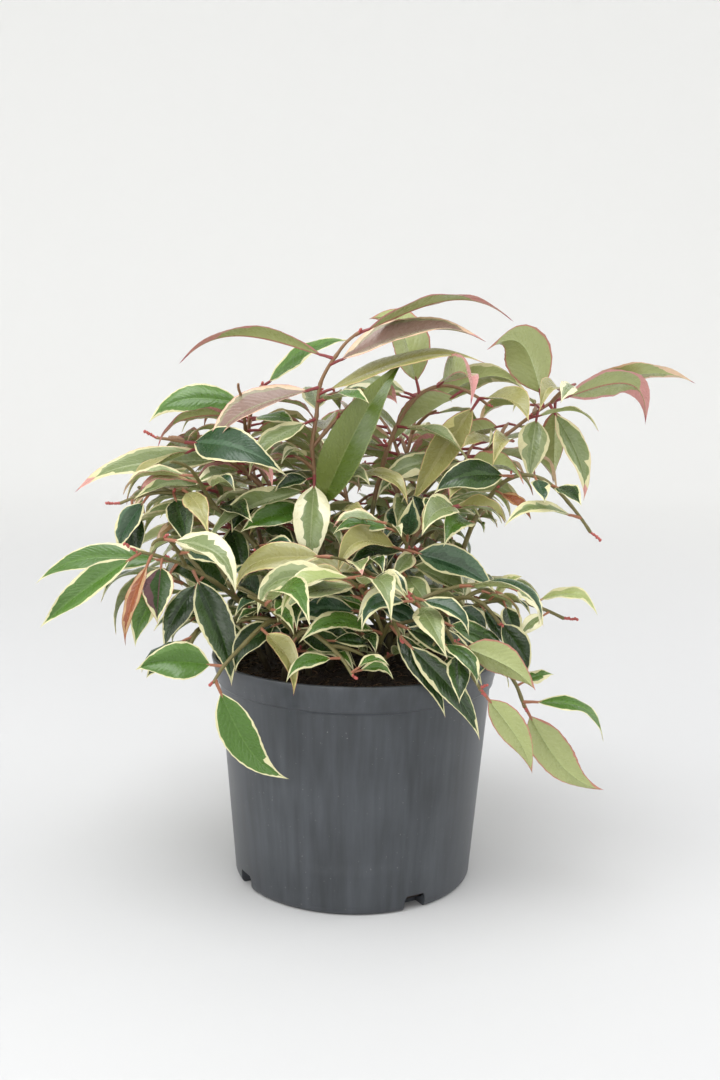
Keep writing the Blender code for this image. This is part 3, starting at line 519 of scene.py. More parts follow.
class Value:
    """A socket that maths can be written with."""

    def __init__(self, graph, socket):
        self.graph = graph
        self.socket = socket

    def maths(self, operation, *numbers):
        return self.graph.node("ShaderNodeMath", {"operation": operation}, dict(enumerate(numbers)))

    def __add__(self, other):
        return self.maths("ADD", self, other)

    __radd__ = __add__

    def __sub__(self, other):
        return self.maths("SUBTRACT", self, other)

    def __rsub__(self, other):
        return self.maths("SUBTRACT", other, self)

    def __mul__(self, other):
        return self.maths("MULTIPLY", self, other)

    __rmul__ = __mul__

    def __gt__(self, other):
        return self.maths("GREATER_THAN", self, other)

    def __abs__(self):
        return self.maths("ABSOLUTE", self)

    def sine(self):
        return self.maths("SINE", self)


class Graph:
    """A node tree being built, for a material or for geometry."""

    def __init__(self, tree):
        self.tree = tree
        self.inputs = None

    def node(self, kind, settings=None, sockets=None, output=0):
        """One node: its settings, then the values or links of its sockets. Gives an output to go on with."""
        made = self.tree.nodes.new(kind)
        for name, value in (settings or {}).items():
            if name == "stops":
                self.set_stops(made.color_ramp, value)
            else:
                setattr(made, name, value)
        for name, value in (sockets or {}).items():
            self.feed(made.inputs[name], value)
        return Value(self, made.outputs[output])

    def feed(self, socket, value):
        if isinstance(value, Value):
            self.tree.links.new(value.socket, socket)
        else:
            socket.default_value = value

    def set_stops(self, ramp, stops):
        while len(ramp.elements) < len(stops):
            ramp.elements.new(1.0)
        for element, (place, colour) in zip(ramp.elements, stops):
            element.position = place
            element.color = colour

    def noise(self, place, scale, detail):
        return self.node("ShaderNodeTexNoise", None, {"Vector": place, "Scale": scale, "Detail": detail})

    def axis(self, vector, number):
        """One of a vector's three numbers."""
        return self.node("ShaderNodeSeparateXYZ", None, {0: vector}, number)

    def mix(self, share, first, second):
        """A share of the way from one colour to another."""
        return self.node("ShaderNodeMix", {"data_type": "RGBA"}, {0: share, 6: first, 7: second}, 2)

    def ramp(self, mask, stops):
        return self.node("ShaderNodeValToRGB", {"stops": stops}, {0: mask})

    def scaled(self, vector, factor):
        return self.node("ShaderNodeVectorMath", {"operation": "SCALE"}, {0: vector, "Scale": factor})

    def random(self, low, high, seed):
        """A vector drawn at random for each point."""
        sockets = {"Min": low, "Max": high, "Seed": seed}
        return self.node("FunctionNodeRandomValue", {"data_type": "FLOAT_VECTOR"}, sockets)

    def strewn(self, points, thing, turn, size):
        """Copies of a thing on points."""
        sockets = {"Points": points, "Instance": thing, "Rotation": turn, "Scale": size}
        return self.node("GeometryNodeInstanceOnPoints", None, sockets)

    def entry(self, name, kind, default=None):
        """A named input of a geometry tree."""
        kind = "NodeSocket" + kind
        socket = self.tree.interface.new_socket(name=name, in_out="INPUT", socket_type=kind)
        if default is not None:
            socket.default_value = default
        if self.inputs is None:
            self.inputs = self.tree.nodes.new("NodeGroupInput")
        return Value(self, self.inputs.outputs[name])

    def close(self, geometry, material=None):
        """End a geometry tree in Realize Instances and, where one is given, Set Material."""
        self.tree.interface.new_socket(name="Geometry", in_out="OUTPUT", socket_type="NodeSocketGeometry")
        real = self.node("GeometryNodeRealizeInstances", None, {0: geometry})
        if material:
            real = self.node("GeometryNodeSetMaterial", None, {"Geometry": real, "Material": material})
        end = self.tree.nodes.new("NodeGroupOutput")
        self.feed(end.inputs[0], real)
        return self.tree


def geometry_tree(name):
    return Graph(bpy.data.node_groups.new(name, "GeometryNodeTree"))


def keep_result(thing):
    """Put what an object's modifiers make in place of its plain mesh."""
    bpy.context.view_layer.update()
    made = bpy.data.meshes.new_from_object(thing.evaluated_get(bpy.context.evaluated_depsgraph_get()))
    made.name = thing.name
    thing.modifiers.clear()
    thing.data = made


def run_tree(tree, thing, **values):
    """Run a geometry tree on an object and keep the result as its plain mesh."""
    modifier = thing.modifiers.new(tree.name, "NODES")
    modifier.node_group = tree
    for item in tree.interface.items_tree:
        if item.in_out == "INPUT" and item.name in values:
            modifier[item.identifier] = values[item.name]
    keep_result(thing)


# Materials


def linear(shade):
    """A 0 to 255 shade as a linear base colour."""
    parts = [part / 255 for part in shade]
    return tuple(p / 12.92 if p <= 0.04045 else ((p + 0.055) / 1.055) ** 2.4 for p in parts) + (1.0,)


class Surface(Graph):
    """A material: its colour, then its relief and roughness."""

    def __init__(self, name):
        self.material = bpy.data.materials.new(name)
        self.material.use_nodes = True
        super().__init__(self.material.node_tree)
        self.sockets = self.tree.nodes["Principled BSDF"].inputs

    def object_place(self):
        return self.node("ShaderNodeTexCoord", None, None, 3)

    def stretched(self, place, upright):
        """The same place with its height scaled, for marks that run upwards."""
        return self.node("ShaderNodeMapping", None, {"Vector": place, "Scale": (1.0, 1.0, upright)})

    def paint(self, colour):
        self.feed(self.sockets["Base Color"], colour)

    def finish(self, roughness, strength, depth, height):
        """Feed the roughness and the relief, its depth in millimetres."""
        sockets = {"Strength": strength, "Distance": depth * MM, "Height": height}
        self.feed(self.sockets["Normal"], self.node("ShaderNodeBump", None, sockets))
        self.feed(self.sockets["Roughness"], roughness)
        return self.material


def leaf_material(shade_name):
    """One plain shade of leaf, with side veins and a leathery grain in its sheen and relief."""
    name = "leaf " + shade_name
    if name in bpy.data.materials:
        return bpy.data.materials[name]
    skin = Surface(name)
    looks = bpy.context.scene.shrub_leaves
    skin.paint(linear(SHADES[shade_name]))
    skin.sockets["Specular IOR Level"].default_value = LEAF_SPECULAR
    place = skin.node("ShaderNodeUVMap", {"uv_map": "blade"})
    slanted = skin.axis(place, 1) - abs(skin.axis(place, 0)) * looks.vein_slant
    grain = skin.noise(place, 7.0, 3.0)
    blotch = skin.noise(place, 1.6, 2.0)
    strayed = slanted + (blotch - 0.5) * 0.5
    veins = (strayed * (math.tau * BLADE_UNIT / looks.vein_gap)).sine()
    height = veins * 0.1 + grain * 0.5 + blotch * 1.2
    roughness = looks.gloss_roughness + (grain - 0.5) * 0.15 + (blotch - 0.5) * 0.25
    return skin.finish(roughness, 0.6, 0.35, height)


def bark_material(name):
    """Bark in one base colour, or in two that run along the stem, darkened near the compost by painted shade.
    """
    shade, roughness, light = BARKS[name]
    bark = Surface(name)
    place = bark.object_place()
    streak = bark.noise(bark.stretched(place, 0.22), 620.0, 4.0)
    if light is None:
        bark.paint(linear(shade))
    else:
        mask = streak * 0.6 + bark.noise(place, 60.0, 2.0) * 0.7
        colour = bark.ramp(mask, [(0.45, linear(shade)), (0.8, linear(light))])
        # Painted shade: from the compost's edge upwards the bark turns from a dark colour to its own
        ends = {1: SOIL_EDGE, 2: SOIL_EDGE + FOOT_SHADOW_REACH}
        share = bark.node("ShaderNodeMapRange", None, {0: bark.axis(place, 2), **ends})
        bark.paint(bark.mix(share, linear(FOOT_SHADOW_COLOUR), colour))
    return bark.finish(roughness + (streak - 0.5) * 0.3, 0.6, 0.2, streak)


def pot_material():
    """Anthracite moulded plastic: fine upright drag streaks, pale dust specks, a satin sheen."""
    plastic = Surface("anthracite plastic")
    looks = bpy.context.scene.shrub_pot
    place = plastic.object_place()
    streak = plastic.noise(plastic.stretched(place, 0.05), 240.0, 5.0)
    cloud = plastic.noise(place, 26.0, 4.0)
    dust = plastic.noise(place, 900.0, 1.0) > 0.775
    body = linear(tuple(255 * part for part in looks.colour))
    deep, pale = (tuple(part * share for part in body[:3]) + (1.0,) for share in (0.72, 1.5))
    colour = plastic.ramp(streak * 0.55 + cloud * 0.45, [(0.35, deep), (0.68, pale)])
    plastic.paint(plastic.mix(dust * 0.5, colour, DUST_COLOUR))
    height = streak * 0.5 + plastic.noise(place, 1500.0, 2.0) * 0.5
    roughness = looks.roughness + (cloud - 0.5) * 0.25 + (streak - 0.5) * 0.2
    return plastic.finish(roughness, 0.12, 0.15, height)


def compost_material():
    peat = Surface("dark compost")
    place = peat.object_place()
    lump = peat.noise(place, 320.0, 8.0)
    patch = peat.noise(place, 70.0, 3.0)
    peat.paint(peat.ramp(lump * 0.65 + patch * 0.4, PEAT_STOPS))
    return peat.finish(0.98 - patch * 0.2, 0.9, 0.8, lump)


def crumb_material(name, colour, roughness):
    crumb = Surface(name)
    crumb.paint(colour)
    grain = crumb.noise(crumb.object_place(), 900.0, 4.0)
    return crumb.finish(roughness + (grain - 0.5) * 0.2, 0.7, 0.3, grain)


def paper_painted_light_material():
    """A smooth floor whose colour is darker round the pot and lighter in the backdrop: painted shade where
    the lamps light it most, painted light where they light it least.
    """
    paper = Surface("pale paper")
    place = paper.object_place()
    distance = paper.node("ShaderNodeVectorMath", {"operation": "LENGTH"}, {0: place}, 1)
    ends = {1: 0.3, 2: 2.6, 3: 0.0, 4: 1.0}
    share = paper.node("ShaderNodeMapRange", {"interpolation_type": "SMOOTHSTEP"}, {0: distance, **ends})
    # Painted shade and painted light: dark near the pot, light far out in the backdrop, to even out the
    # lamps' light
    paper.paint(paper.mix(share, (0.64, 0.64, 0.645, 1), (0.93, 0.93, 0.92, 1)))
    paper.feed(paper.sockets["Roughness"], 0.7 + (paper.noise(place, 40.0, 2.0) - 0.5) * 0.05)
    return paper.material


# Meshes


def circle(radius, height, count):
    """Points round a level circle."""
    angles = [math.tau * i / count for i in range(count)]
    return [Vector((radius * math.cos(angle), radius * math.sin(angle), height)) for angle in angles]


def loft(rings, closed=True):
    """Points and outward faces of rings joined in turn. A ring of one point is a tip."""
    points = []
    starts = []
    for ring in rings:
        starts.append(len(points))
        points.extend(ring)
    faces = []
    for first, second, at, to in zip(rings, rings[1:], starts, starts[1:]):
        count = max(len(first), len(second))
        for i in range(count):
            j = (i + 1) % count
            if len(second) == 1:
                faces.append((at + i, at + j, to))
            elif len(first) == 1:
                faces.append((at, to + j, to + i))
            else:
                faces.append((at + i, at + j, to + j, to + i))
    if closed and len(rings[0]) > 2:
        faces.append(tuple(reversed(range(len(rings[0])))))
    if closed and len(rings[-1]) > 2:
        faces.append(tuple(range(starts[-1], len(points))))
    return points, faces


def placed_object(name, data):
    thing = bpy.data.objects.new(name, data)
    bpy.context.scene.collection.objects.link(thing)
    return thing


def piece(name, points, faces, materials, crease=40):
    mesh = bpy.data.meshes.new(name)
    mesh.from_pydata([tuple(point) for point in points], [], faces)
    for material in materials:
        mesh.materials.append(material)
    mesh.update()
    smooth(mesh, crease)
    return placed_object(name, mesh)


def smooth(mesh, crease):
    """Shade smooth up to an angle between faces, in degrees."""
    mesh.shade_smooth()
    mesh.set_sharp_from_angle(angle=math.radians(crease))


def join_meshes(name, things):
    """Several objects' meshes as one new object, each with its own material."""
    points = []
    faces = []
    material_of = []
    for number, thing in enumerate(things):
        start = len(points)
        points.extend(vertex.co.copy() for vertex in thing.data.vertices)
        faces.extend(tuple(start + i for i in face.vertices) for face in thing.data.polygons)
        material_of.extend([number] * len(thing.data.polygons))
    made = piece(name, points, faces, [thing.data.materials[-1] for thing in things])
    made.data.polygons.foreach_set("material_index", material_of)
    for thing in things:
        bpy.data.objects.remove(thing, do_unlink=True)
    return made


def dress(thing, slot, *nodes):
    """A finished piece rides on the plant's body and stands for its nodes."""
    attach(thing, "root")
    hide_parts(*nodes)


# Growth, by the rule of the solids


def wall_radius(height):
    """Outer radius of the pot's plain wall."""
    share = height / (POT_HEIGHT - BAND_HEIGHT)
    return BASE_RADIUS + (SHOULDER_RADIUS - BASE_RADIUS) * share


def soil_top(x, y):
    """Height of the compost, a little higher in the middle."""
    radius = math.hypot(x, y)
    return SOIL_EDGE + SOIL_RISE * max(0.0, 1 - (radius / SHOULDER_RADIUS) ** 2)


class Path:
    """A smooth curve through three points, measured along its length, with a small zigzag at its nodes."""

    def __init__(self, root, middle, tip):
        control = middle * 2 - (root + tip) / 2
        self.points = []
        for step in range(PATH_STEPS + 1):
            t = step / PATH_STEPS
            self.points.append(root * (1 - t) ** 2 + control * 2 * t * (1 - t) + tip * t ** 2)
        self.reach = [0.0]
        for first, second in zip(self.points, self.points[1:]):
            self.reach.append(self.reach[-1] + (second - first).length)
        self.length = self.reach[-1]

    def smooth_point(self, distance):
        distance = min(max(distance, 0.0), self.length)
        step = 0
        while step < PATH_STEPS - 1 and self.reach[step + 1] < distance:
            step += 1
        span = self.reach[step + 1] - self.reach[step]
        return self.points[step].lerp(self.points[step + 1], (distance - self.reach[step]) / span)

    def direction(self, distance):
        ahead = self.smooth_point(distance + 2 * MM)
        behind = self.smooth_point(distance - 2 * MM)
        return (ahead - behind).normalized()

    def side(self, distance):
        """Level direction across the path, the same way all along it."""
        chord = self.points[-1] - self.points[0]
        across = Vector((chord.y, -chord.x, 0))
        if across.length < 5 * MM:
            across = Vector((1, 0, 0))
        along = self.direction(distance)
        return (across - along * across.dot(along)).normalized()

    def point(self, distance):
        phase = distance / NODE_GAP % 2
        wave = 1 - 2 * abs(phase - 1)
        fade = min(1.0, distance / (3 * NODE_GAP))
        return self.smooth_point(distance) + self.side(distance) * ZIGZAG * wave * fade


def tube_rings(path, start, end, sides, steps, radius_at):
    """Rings across a stretch of a path, each turned to face along it."""
    rings = []
    for step in range(steps + 1):
        distance = start + (end - start) * step / steps
        along = path.direction(distance)
        across = path.side(distance)
        across = (across - along * across.dot(along)).normalized()
        other = along.cross(across)
        centre = path.point(distance)
        radius = radius_at(distance)
        ring = []
        for i in range(sides):
            angle = math.tau * i / sides
            ring.append(centre + across * radius * math.cos(angle) + other * radius * math.sin(angle))
        rings.append(ring)
    return rings


def blade_shape(blade):
    """Half width at a share of the way along a blade, as a share of its greatest."""
    peak = ROUND_BASE / (ROUND_BASE + LONG_TIP)
    highest = peak ** ROUND_BASE * (1 - peak) ** LONG_TIP
    return blade ** ROUND_BASE * (1 - blade) ** LONG_TIP / highest


class Leaf:
    """One leaf: its stalk starts inside the stem, and its blade arches to a drawn-out tip."""

    def __init__(self, root, tip, arch, face, width=1.0, bow=0.0):
        self.root = root
        self.chord = tip - root
        self.length = self.chord.length
        along = self.chord.normalized()
        rise = UP - along * UP.dot(along)
        if rise.length < 0.2:
            rise = Vector((along.x, along.y, 0.2)) * -1
            rise = rise - along * rise.dot(along)
        toward = FRONT - along * FRONT.dot(along)
        self.lift = (rise.normalized() * arch + toward * bow) * self.length
        face = face - along * face.dot(along)
        self.face = face.normalized()
        self.width = min(LEAF_WIDTH + self.length * LEAF_WIDENING, self.length * LEAF_BROADEST) * width
        self.tone = None

    def middle(self, share):
        """Point on the midrib, at a share of the way from the stem to the tip."""
        return self.root + self.chord * share + self.lift * LIFT_SCALE * share * (1 - share ** 3)

    def frame(self, share):
        """Midrib point, direction across the blade, and the upper face's direction."""
        along = (self.middle(share + 0.02) - self.middle(share - 0.02)).normalized()
        normal = (self.face - along * self.face.dot(along)).normalized()
        return self.middle(share), along.cross(normal), normal

    def mesh(self, grow=0.0, from_stem=0.0):
        """Points and faces of a thin keeled blade on its stalk, made thicker all round by grow."""
        stalk = PETIOLE / self.length
        spots = []
        for share in (from_stem / self.length, stalk):
            radius = PETIOLE_RADIUS + grow
            spots.append((share, radius * STALK_SHOULDER, radius / 2, radius))
        for blade in BLADE_STATIONS:
            half = self.width / 2 * blade_shape(blade)
            spots.append((stalk + (1 - stalk) * blade, half + grow, half * FOLD + grow, KEEL + grow))
        rings = []
        for share, aside, above, below in spots:
            centre, across, normal = self.frame(share)
            edges = [centre + across * aside * sign + normal * above for sign in (1, -1)]
            rings.append(edges + [centre - normal * below])
        return loft(rings + [[self.middle(1.0)]])


def box_of(points):
    return [Vector([end(point[i] for point in points) for i in range(3)]) for end in (min, max)]


class Crowd:
    """Everything grown so far, so that a new leaf or twig can be kept clear of it."""

    def __init__(self):
        self.trees = []
        self.shown = None

    def add(self, points, faces):
        self.trees.append((*box_of(points), BVHTree.FromPolygons(points, faces)))

    def touches(self, points, faces):
        low, high = box_of(points)
        tree = None
        for other_low, other_high, other in self.trees:
            if any(low[i] > other_high[i] or high[i] < other_low[i] for i in range(3)):
                continue
            tree = tree or BVHTree.FromPolygons(points, faces)
            if tree.overlap(other):
                return True
        return False


def hits_pot(point, margin):
    """Whether a point is in the pot, its rim or its compost, or too close to them."""
    radius = math.hypot(point.x, point.y)
    if point.z > POT_HEIGHT + margin:
        return False
    if radius > RIM_RADIUS + margin:
        return False
    outer = RIM_RADIUS if point.z > POT_HEIGHT - BAND_HEIGHT - margin else wall_radius(point.z) + 1 * MM
    if radius > outer + margin:
        return False
    inner = RIM_RADIUS - WALL - 1 * MM - margin
    return not (radius < inner and point.z > soil_top(point.x, point.y) + margin)


def leaf_clears_pot(leaf):
    stalk = PETIOLE / leaf.length
    for step in range(3, 25):
        share = step / 24
        centre, across, _ = leaf.frame(share)
        half = leaf.width / 2 * blade_shape(min(max(0.0, (share - stalk) / (1 - stalk)), 1.0))
        if any(hits_pot(centre + across * offset, POT_CLEARANCE) for offset in (-half, 0.0, half)):
            return False
    return True


def under_dome(point):
    """Whether a point is below the crown's rounded top."""
    fall = DOME_FALL_ACROSS * (point.x - DOME_MIDDLE) ** 2 + DOME_FALL_BACK * point.y ** 2
    return point.z < CROWN_TOP - fall


def in_open_place(point):
    """Whether a point is in one of the gaps in the crown, as seen from the front."""
    seen = VIEW_POINT + (point - VIEW_POINT) * VIEW_POINT.y / (VIEW_POINT.y - point.y)
    for x, z, half_width, half_height in OPEN_PLACES:
        across = (seen.x / MM - x) / half_width
        up = (seen.z / MM - z) / half_height
        if across ** 2 + up ** 2 < 1:
            return True
    return False


def leaf_in_crown(leaf):
    tip = leaf.middle(1.0)
    reach = (tip.x / CROWN_RADIUS) ** 2 + (tip.y / CROWN_DEPTH) ** 2
    if reach > 1 or tip.z < CROWN_LOW or any(in_open_place(leaf.middle(share)) for share in HIDING_SHARES):
        return False
    return all(under_dome(leaf.middle(step / 8)) for step in range(9))


def hides_named(leaf, crowd):
    """Whether a leaf would stand before a named one, as seen from the front."""
    for share in HIDING_SHARES:
        point = leaf.middle(share)
        if crowd.shown.ray_cast(point, (point - VIEW_POINT).normalized())[0]:
            return True
    return False


def leaf_fits(leaf, crowd):
    if not leaf_clears_pot(leaf):
        return False
    points, faces = leaf.mesh(LEAF_CLEARANCE, STEM_CLEARANCE)
    return not crowd.touches(points, faces)


class Limb:
    """One stem: its path, where its foliage starts, its side twigs and its leaves."""

    def __init__(self, name):
        root, middle, tip, bare_share = STEMS[name]
        foot = Vector((root[0] * MM, root[1] * MM, 0))
        foot.z = soil_top(foot.x, foot.y) + GAP
        self.name = name
        self.path = Path(foot, Vector(middle) * MM, Vector(tip) * MM)
        self.bare = self.path.length * bare_share
        self.twigs = []
        self.twiglets = []
        self.leaves = []

    def radius_at(self, distance):
        return ROOT_RADIUS + (TIP_RADIUS - ROOT_RADIUS) * (distance / self.path.length)


def placed_leaf(limb, row, crowd):
    """Where along the limb a named leaf springs, and the leaf, or none if it fits nowhere."""
    place, reach_x, reach_y, reach_z, arch, turn, width = row[:7]
    distance = max(place * limb.path.length, limb.bare + GAP + STEM_CLEARANCE)
    root = limb.path.point(min(distance, limb.path.length - POT_CLEARANCE))
    tip = root + Vector((reach_x, reach_y, reach_z)) * MM
    sight = (tip - VIEW_POINT).normalized()
    turn = math.radians(turn)
    face = Vector((0, -math.sin(turn), math.cos(turn)))
    for ease in EASES:
        for bow in BOWS:
            leaf = Leaf(root, tip + sight * ease * MM, arch, face, width, bow)
            if leaf_fits(leaf, crowd):
                return distance, leaf
    return distance, None


def grow_placed_leaves(limbs, crowd):
    """Set the named leaves, and remember them as one mesh that later leaves mustn't hide."""
    shown_points = []
    shown_faces = []
    for limb in limbs:
        limb.taken = []
        limb.taken_end = 0.0
        for row in PLACED.get(limb.name, ()):
            distance, leaf = placed_leaf(limb, row, crowd)
            if leaf:
                leaf.tone = row[7]
                points, faces = leaf.mesh()
                crowd.add(points, faces)
                shown_faces.extend(tuple(i + len(shown_points) for i in face) for face in faces)
                shown_points.extend(points)
                limb.leaves.append(leaf)
                limb.taken.append(distance)
                limb.taken_end = max(limb.taken_end, distance)
    crowd.shown = BVHTree.FromPolygons(shown_points, shown_faces)


def outward_from_axis(point):
    flat = Vector((point.x, point.y, 0))
    return flat.normalized() if flat.length > 10 * MM else Vector((0, -1, 0))


def rule_leaf(rng, path, distance, side_sign, size, width):
    """A leaf set to one side of a twig, falling towards its tip, with its face up and outwards."""
    root = path.point(distance)
    along = path.direction(distance)
    spread = math.radians(rng.uniform(*NODE_SPREAD))
    heading = along * math.cos(spread) + path.side(distance) * side_sign * math.sin(spread)
    length = size * rng.uniform(*SIZE_SWING)
    reach = (heading - UP * rng.uniform(*FALL)).normalized() * length
    face = UP + outward_from_axis(root) * rng.uniform(*FACE_OUT)
    face.x += rng.uniform(-FACE_SWING, FACE_SWING)
    face.y += rng.uniform(-FACE_SWING, FACE_SWING)
    return Leaf(root, root + reach, rng.uniform(*LEAF_ARCH), face, width)


def try_rule_leaf(rng, limb, crowd, path, distance, side_sign, size, tries=TRIES, width=RULE_WIDTH):
    for attempt in range(tries):
        leaf = rule_leaf(rng, path, distance, side_sign, size * (1 - SHRINK * attempt), width)
        if not leaf_in_crown(leaf) or hides_named(leaf, crowd):
            continue
        if leaf_fits(leaf, crowd):
            crowd.add(*leaf.mesh())
            limb.leaves.append(leaf)
            return


def side_twig(rng, limb, distance, side_sign, length_range):
    """A short twig from one node, out to one side and a little up."""
    root = limb.path.point(distance)
    along = limb.path.direction(distance)
    spread = math.radians(rng.uniform(*SIDE_TWIG_SPREAD))
    heading = along * math.cos(spread) + limb.path.side(distance) * side_sign * math.sin(spread)
    length = rng.uniform(*length_range) * MM
    heading = (heading + UP * rng.uniform(*SIDE_TWIG_RISE)).normalized()
    tip = root + heading * length
    bend = UP * length * rng.uniform(*SIDE_TWIG_BEND)
    return Path(root, (root + tip) / 2 + bend, tip)


def side_twig_radius(twig):
    base, end = SIDE_TWIG_RADIUS
    return lambda distance: base + (end - base) * distance / twig.length


def twig_fits(twig, crowd):
    """Whether a twig and the room round it touch nothing, from a little way out of its stem."""
    guard = tube_rings(twig, SIDE_TWIG_START, twig.length, *TWIG_TUBE, lambda distance: SIDE_TWIG_GUARD)
    points, faces = loft(guard)
    root, tip = twig.points[0], twig.points[-1]
    if not under_dome(tip) or any(hits_pot(point, POT_CLEARANCE) for point in points):
        return False
    return tip.z >= root.z - SIDE_TWIG_DROP and not in_open_place(tip) and not crowd.touches(points, faces)


def grow_twig(rng, limb, crowd, distance, side_sign, length_range, tries):
    """A side twig that fits, or none."""
    for _ in range(tries):
        twig = side_twig(rng, limb, distance, side_sign, length_range)
        if twig_fits(twig, crowd):
            crowd.add(*loft(tube_rings(twig, 0, twig.length, *TWIG_TUBE, side_twig_radius(twig))))
            return twig
    return None


def rule_twigs(rng, limb, crowd):
    for node in SIDE_TWIG_NODES:
        distance = limb.bare + FIRST_NODE + node * NODE_GAP
        if distance < limb.path.length - SIDE_TWIG_ROOM:
            side_sign = 1 if node % 4 == 0 else -1
            twig = grow_twig(rng, limb, crowd, distance, side_sign, SIDE_TWIG_LENGTH, TRIES)
            if twig:
                limb.twigs.append(twig)


def rule_leaves(rng, limb, crowd):
    """Leaves at the nodes of a stem, to one side and the other, and then along its side twigs."""
    distance = limb.bare + FIRST_NODE
    end = limb.taken_end if limb.name in SINGLE_STEMS else limb.path.length - TIP_ROOM
    side_sign = 1
    while distance < end:
        if all(abs(distance - taken) > TAKEN_ROOM for taken in limb.taken):
            size = LEAF_LONG - (LEAF_LONG - LEAF_SHORT) * TIPWARD_LOSS * distance / limb.path.length
            try_rule_leaf(rng, limb, crowd, limb.path, distance, side_sign, size)
        side_sign = -side_sign
        distance += NODE_GAP
    leafy = []
    for twig in limb.twigs:
        before = len(limb.leaves)
        first, last = SIDE_TWIG_PLACES
        for number in range(SIDE_TWIG_LEAVES):
            place = min((number + first) / SIDE_TWIG_LEAVES, last) * twig.length
            try_rule_leaf(rng, limb, crowd, twig, place, 1 if number % 2 else -1, SIDE_TWIG_LEAF)
        if len(limb.leaves) > before:
            leafy.append(twig)
    limb.twigs = leafy


def grow():
    """The limbs of the solids, the same on every run, and the crowd that they make."""
    rng = random.Random(SEED)
    crowd = Crowd()
    limbs = [Limb(name) for name in STEMS]
    for limb in limbs:
        crowd.add(*loft(tube_rings(limb.path, 0, limb.path.length, *STEM_TUBE, limb.radius_at)))
    grow_placed_leaves(limbs, crowd)
    for limb in limbs:
        if limb.name not in SINGLE_STEMS:
            rule_twigs(rng, limb, crowd)
    for limb in limbs:
        rule_leaves(rng, limb, crowd)
    return limbs, crowd


def small_leaves(rng, limb, crowd, twig, places):
    for share, sign in places:
        size = rng.uniform(*SMALL_LEAF) * MM
        try_rule_leaf(rng, limb, crowd, twig, twig.length * share, sign, size, FINER_TRIES, FINER_WIDTH)


def grow_finer(limbs, crowd):
    """Carry the rule on to short twiglets and small leaves, wherever they still find room."""
    rng = random.Random(FINER_SEED)
    for limb in limbs:
        if limb.name in SINGLE_STEMS:
            continue
        distance = FINER_START * limb.path.length
        side_sign = -1
        while distance < limb.path.length - TWIGLET_ROOM:
            twiglet = grow_twig(rng, limb, crowd, distance, side_sign, TWIGLET_LENGTH, FINER_TRIES)
            if twiglet:
                before = len(limb.leaves)
                small_leaves(rng, limb, crowd, twiglet, TWIGLET_PLACES)
                if len(limb.leaves) > before:
                    limb.twiglets.append(twiglet)
            side_sign = -side_sign
            distance += TWIGLET_GAP
        for twig in limb.twigs:
            small_leaves(rng, limb, crowd, twig, TWIG_PLACES)


PLANT = []


def plant():
    """Every limb with all its growth, worked out once."""
    if not PLANT:
        limbs, crowd = grow()
        grow_finer(limbs, crowd)
        PLANT.extend(limbs)
    return PLANT


# Leaf blades


ROWS = (12, 32)
ROW_GAP = 2.3 * MM
ROW_CROWDING = 0.92
BLADE_STRIDE = 1.37
BLADE_CREASE = 58
BLADE_KEEL = 0.45 * MM
EDGE_WIDTH = 0.28 * MM
NARROWEST = 0.45 * MM
BASE_SINK = 0.8 * MM
LAST_ROW = 0.975
HEART_SHARES = (0.34, 0.93)
HEART_END = 0.05
HEART_TAPER = 0.14
TAPER_GAIN = 0.6
TAPER_FROM = 0.92
PATCH_SHARES = (0.1, 0.9)
PATCH_DRIFT = (0.12, 0.5)
EDGE_SHARE = 0.6
POINT_SHARE = 0.66
MARGIN_SHARE = (0.7, 1.4)
MARGIN_JAG = 0.3
MARGIN_DRIFT = (0.42, 0.72)
MARGIN_SWING = (0.3, 2.4)
BAY_DEPTH = (0.8, 3.6)
BAY_LENGTH = (0.03, 0.1)
BAY_PLACES = (0.1, 0.9)
BAY_LOSS = 0.6
RIB_BELOW = 0.05
RIB_ABOVE = 0.04
# Which of the heart's four bands are soft, from the rib outwards, on one half of a blade
HALVES = ((0, 0, 0, 0), (0, 0, 0, 1), (1, 0, 0, 0), (0, 0, 1, 1))
# A plain blade: one half all in the lighter shade and the other all in the heart, painted light and painted
# shade as a blade folded at its midrib is lit
PLAIN_LIT_AND_SHADED_HALVES = ((1, 1, 1, 1), (0, 0, 0, 0))
# How a blade curls: twist in degrees, waves of its edge, where they start on each half, fold, cup, then
# how far it bends to one side and its tip hooks down, which a placed leaf doesn't
CURLS = {
    "twist": (-26, 26),
    "waves": (1.5, 3.2),
    "start": (0, math.tau),
    "end": (0, math.tau),
    "fold": (0.3, 0.75),
    "cup": (-0.45, 0.05),
    "bend": (-0.05, 0.05),
    "hook": (0.0, 0.09),
}


def drift(rng, count, step, hold):
    """Numbers about zero, each a small step on from the one before."""
    value = 0.0
    numbers = []
    for _ in range(count):
        value = hold * value + rng.uniform(-step, step)
        numbers.append(value)
    return np.array(numbers)


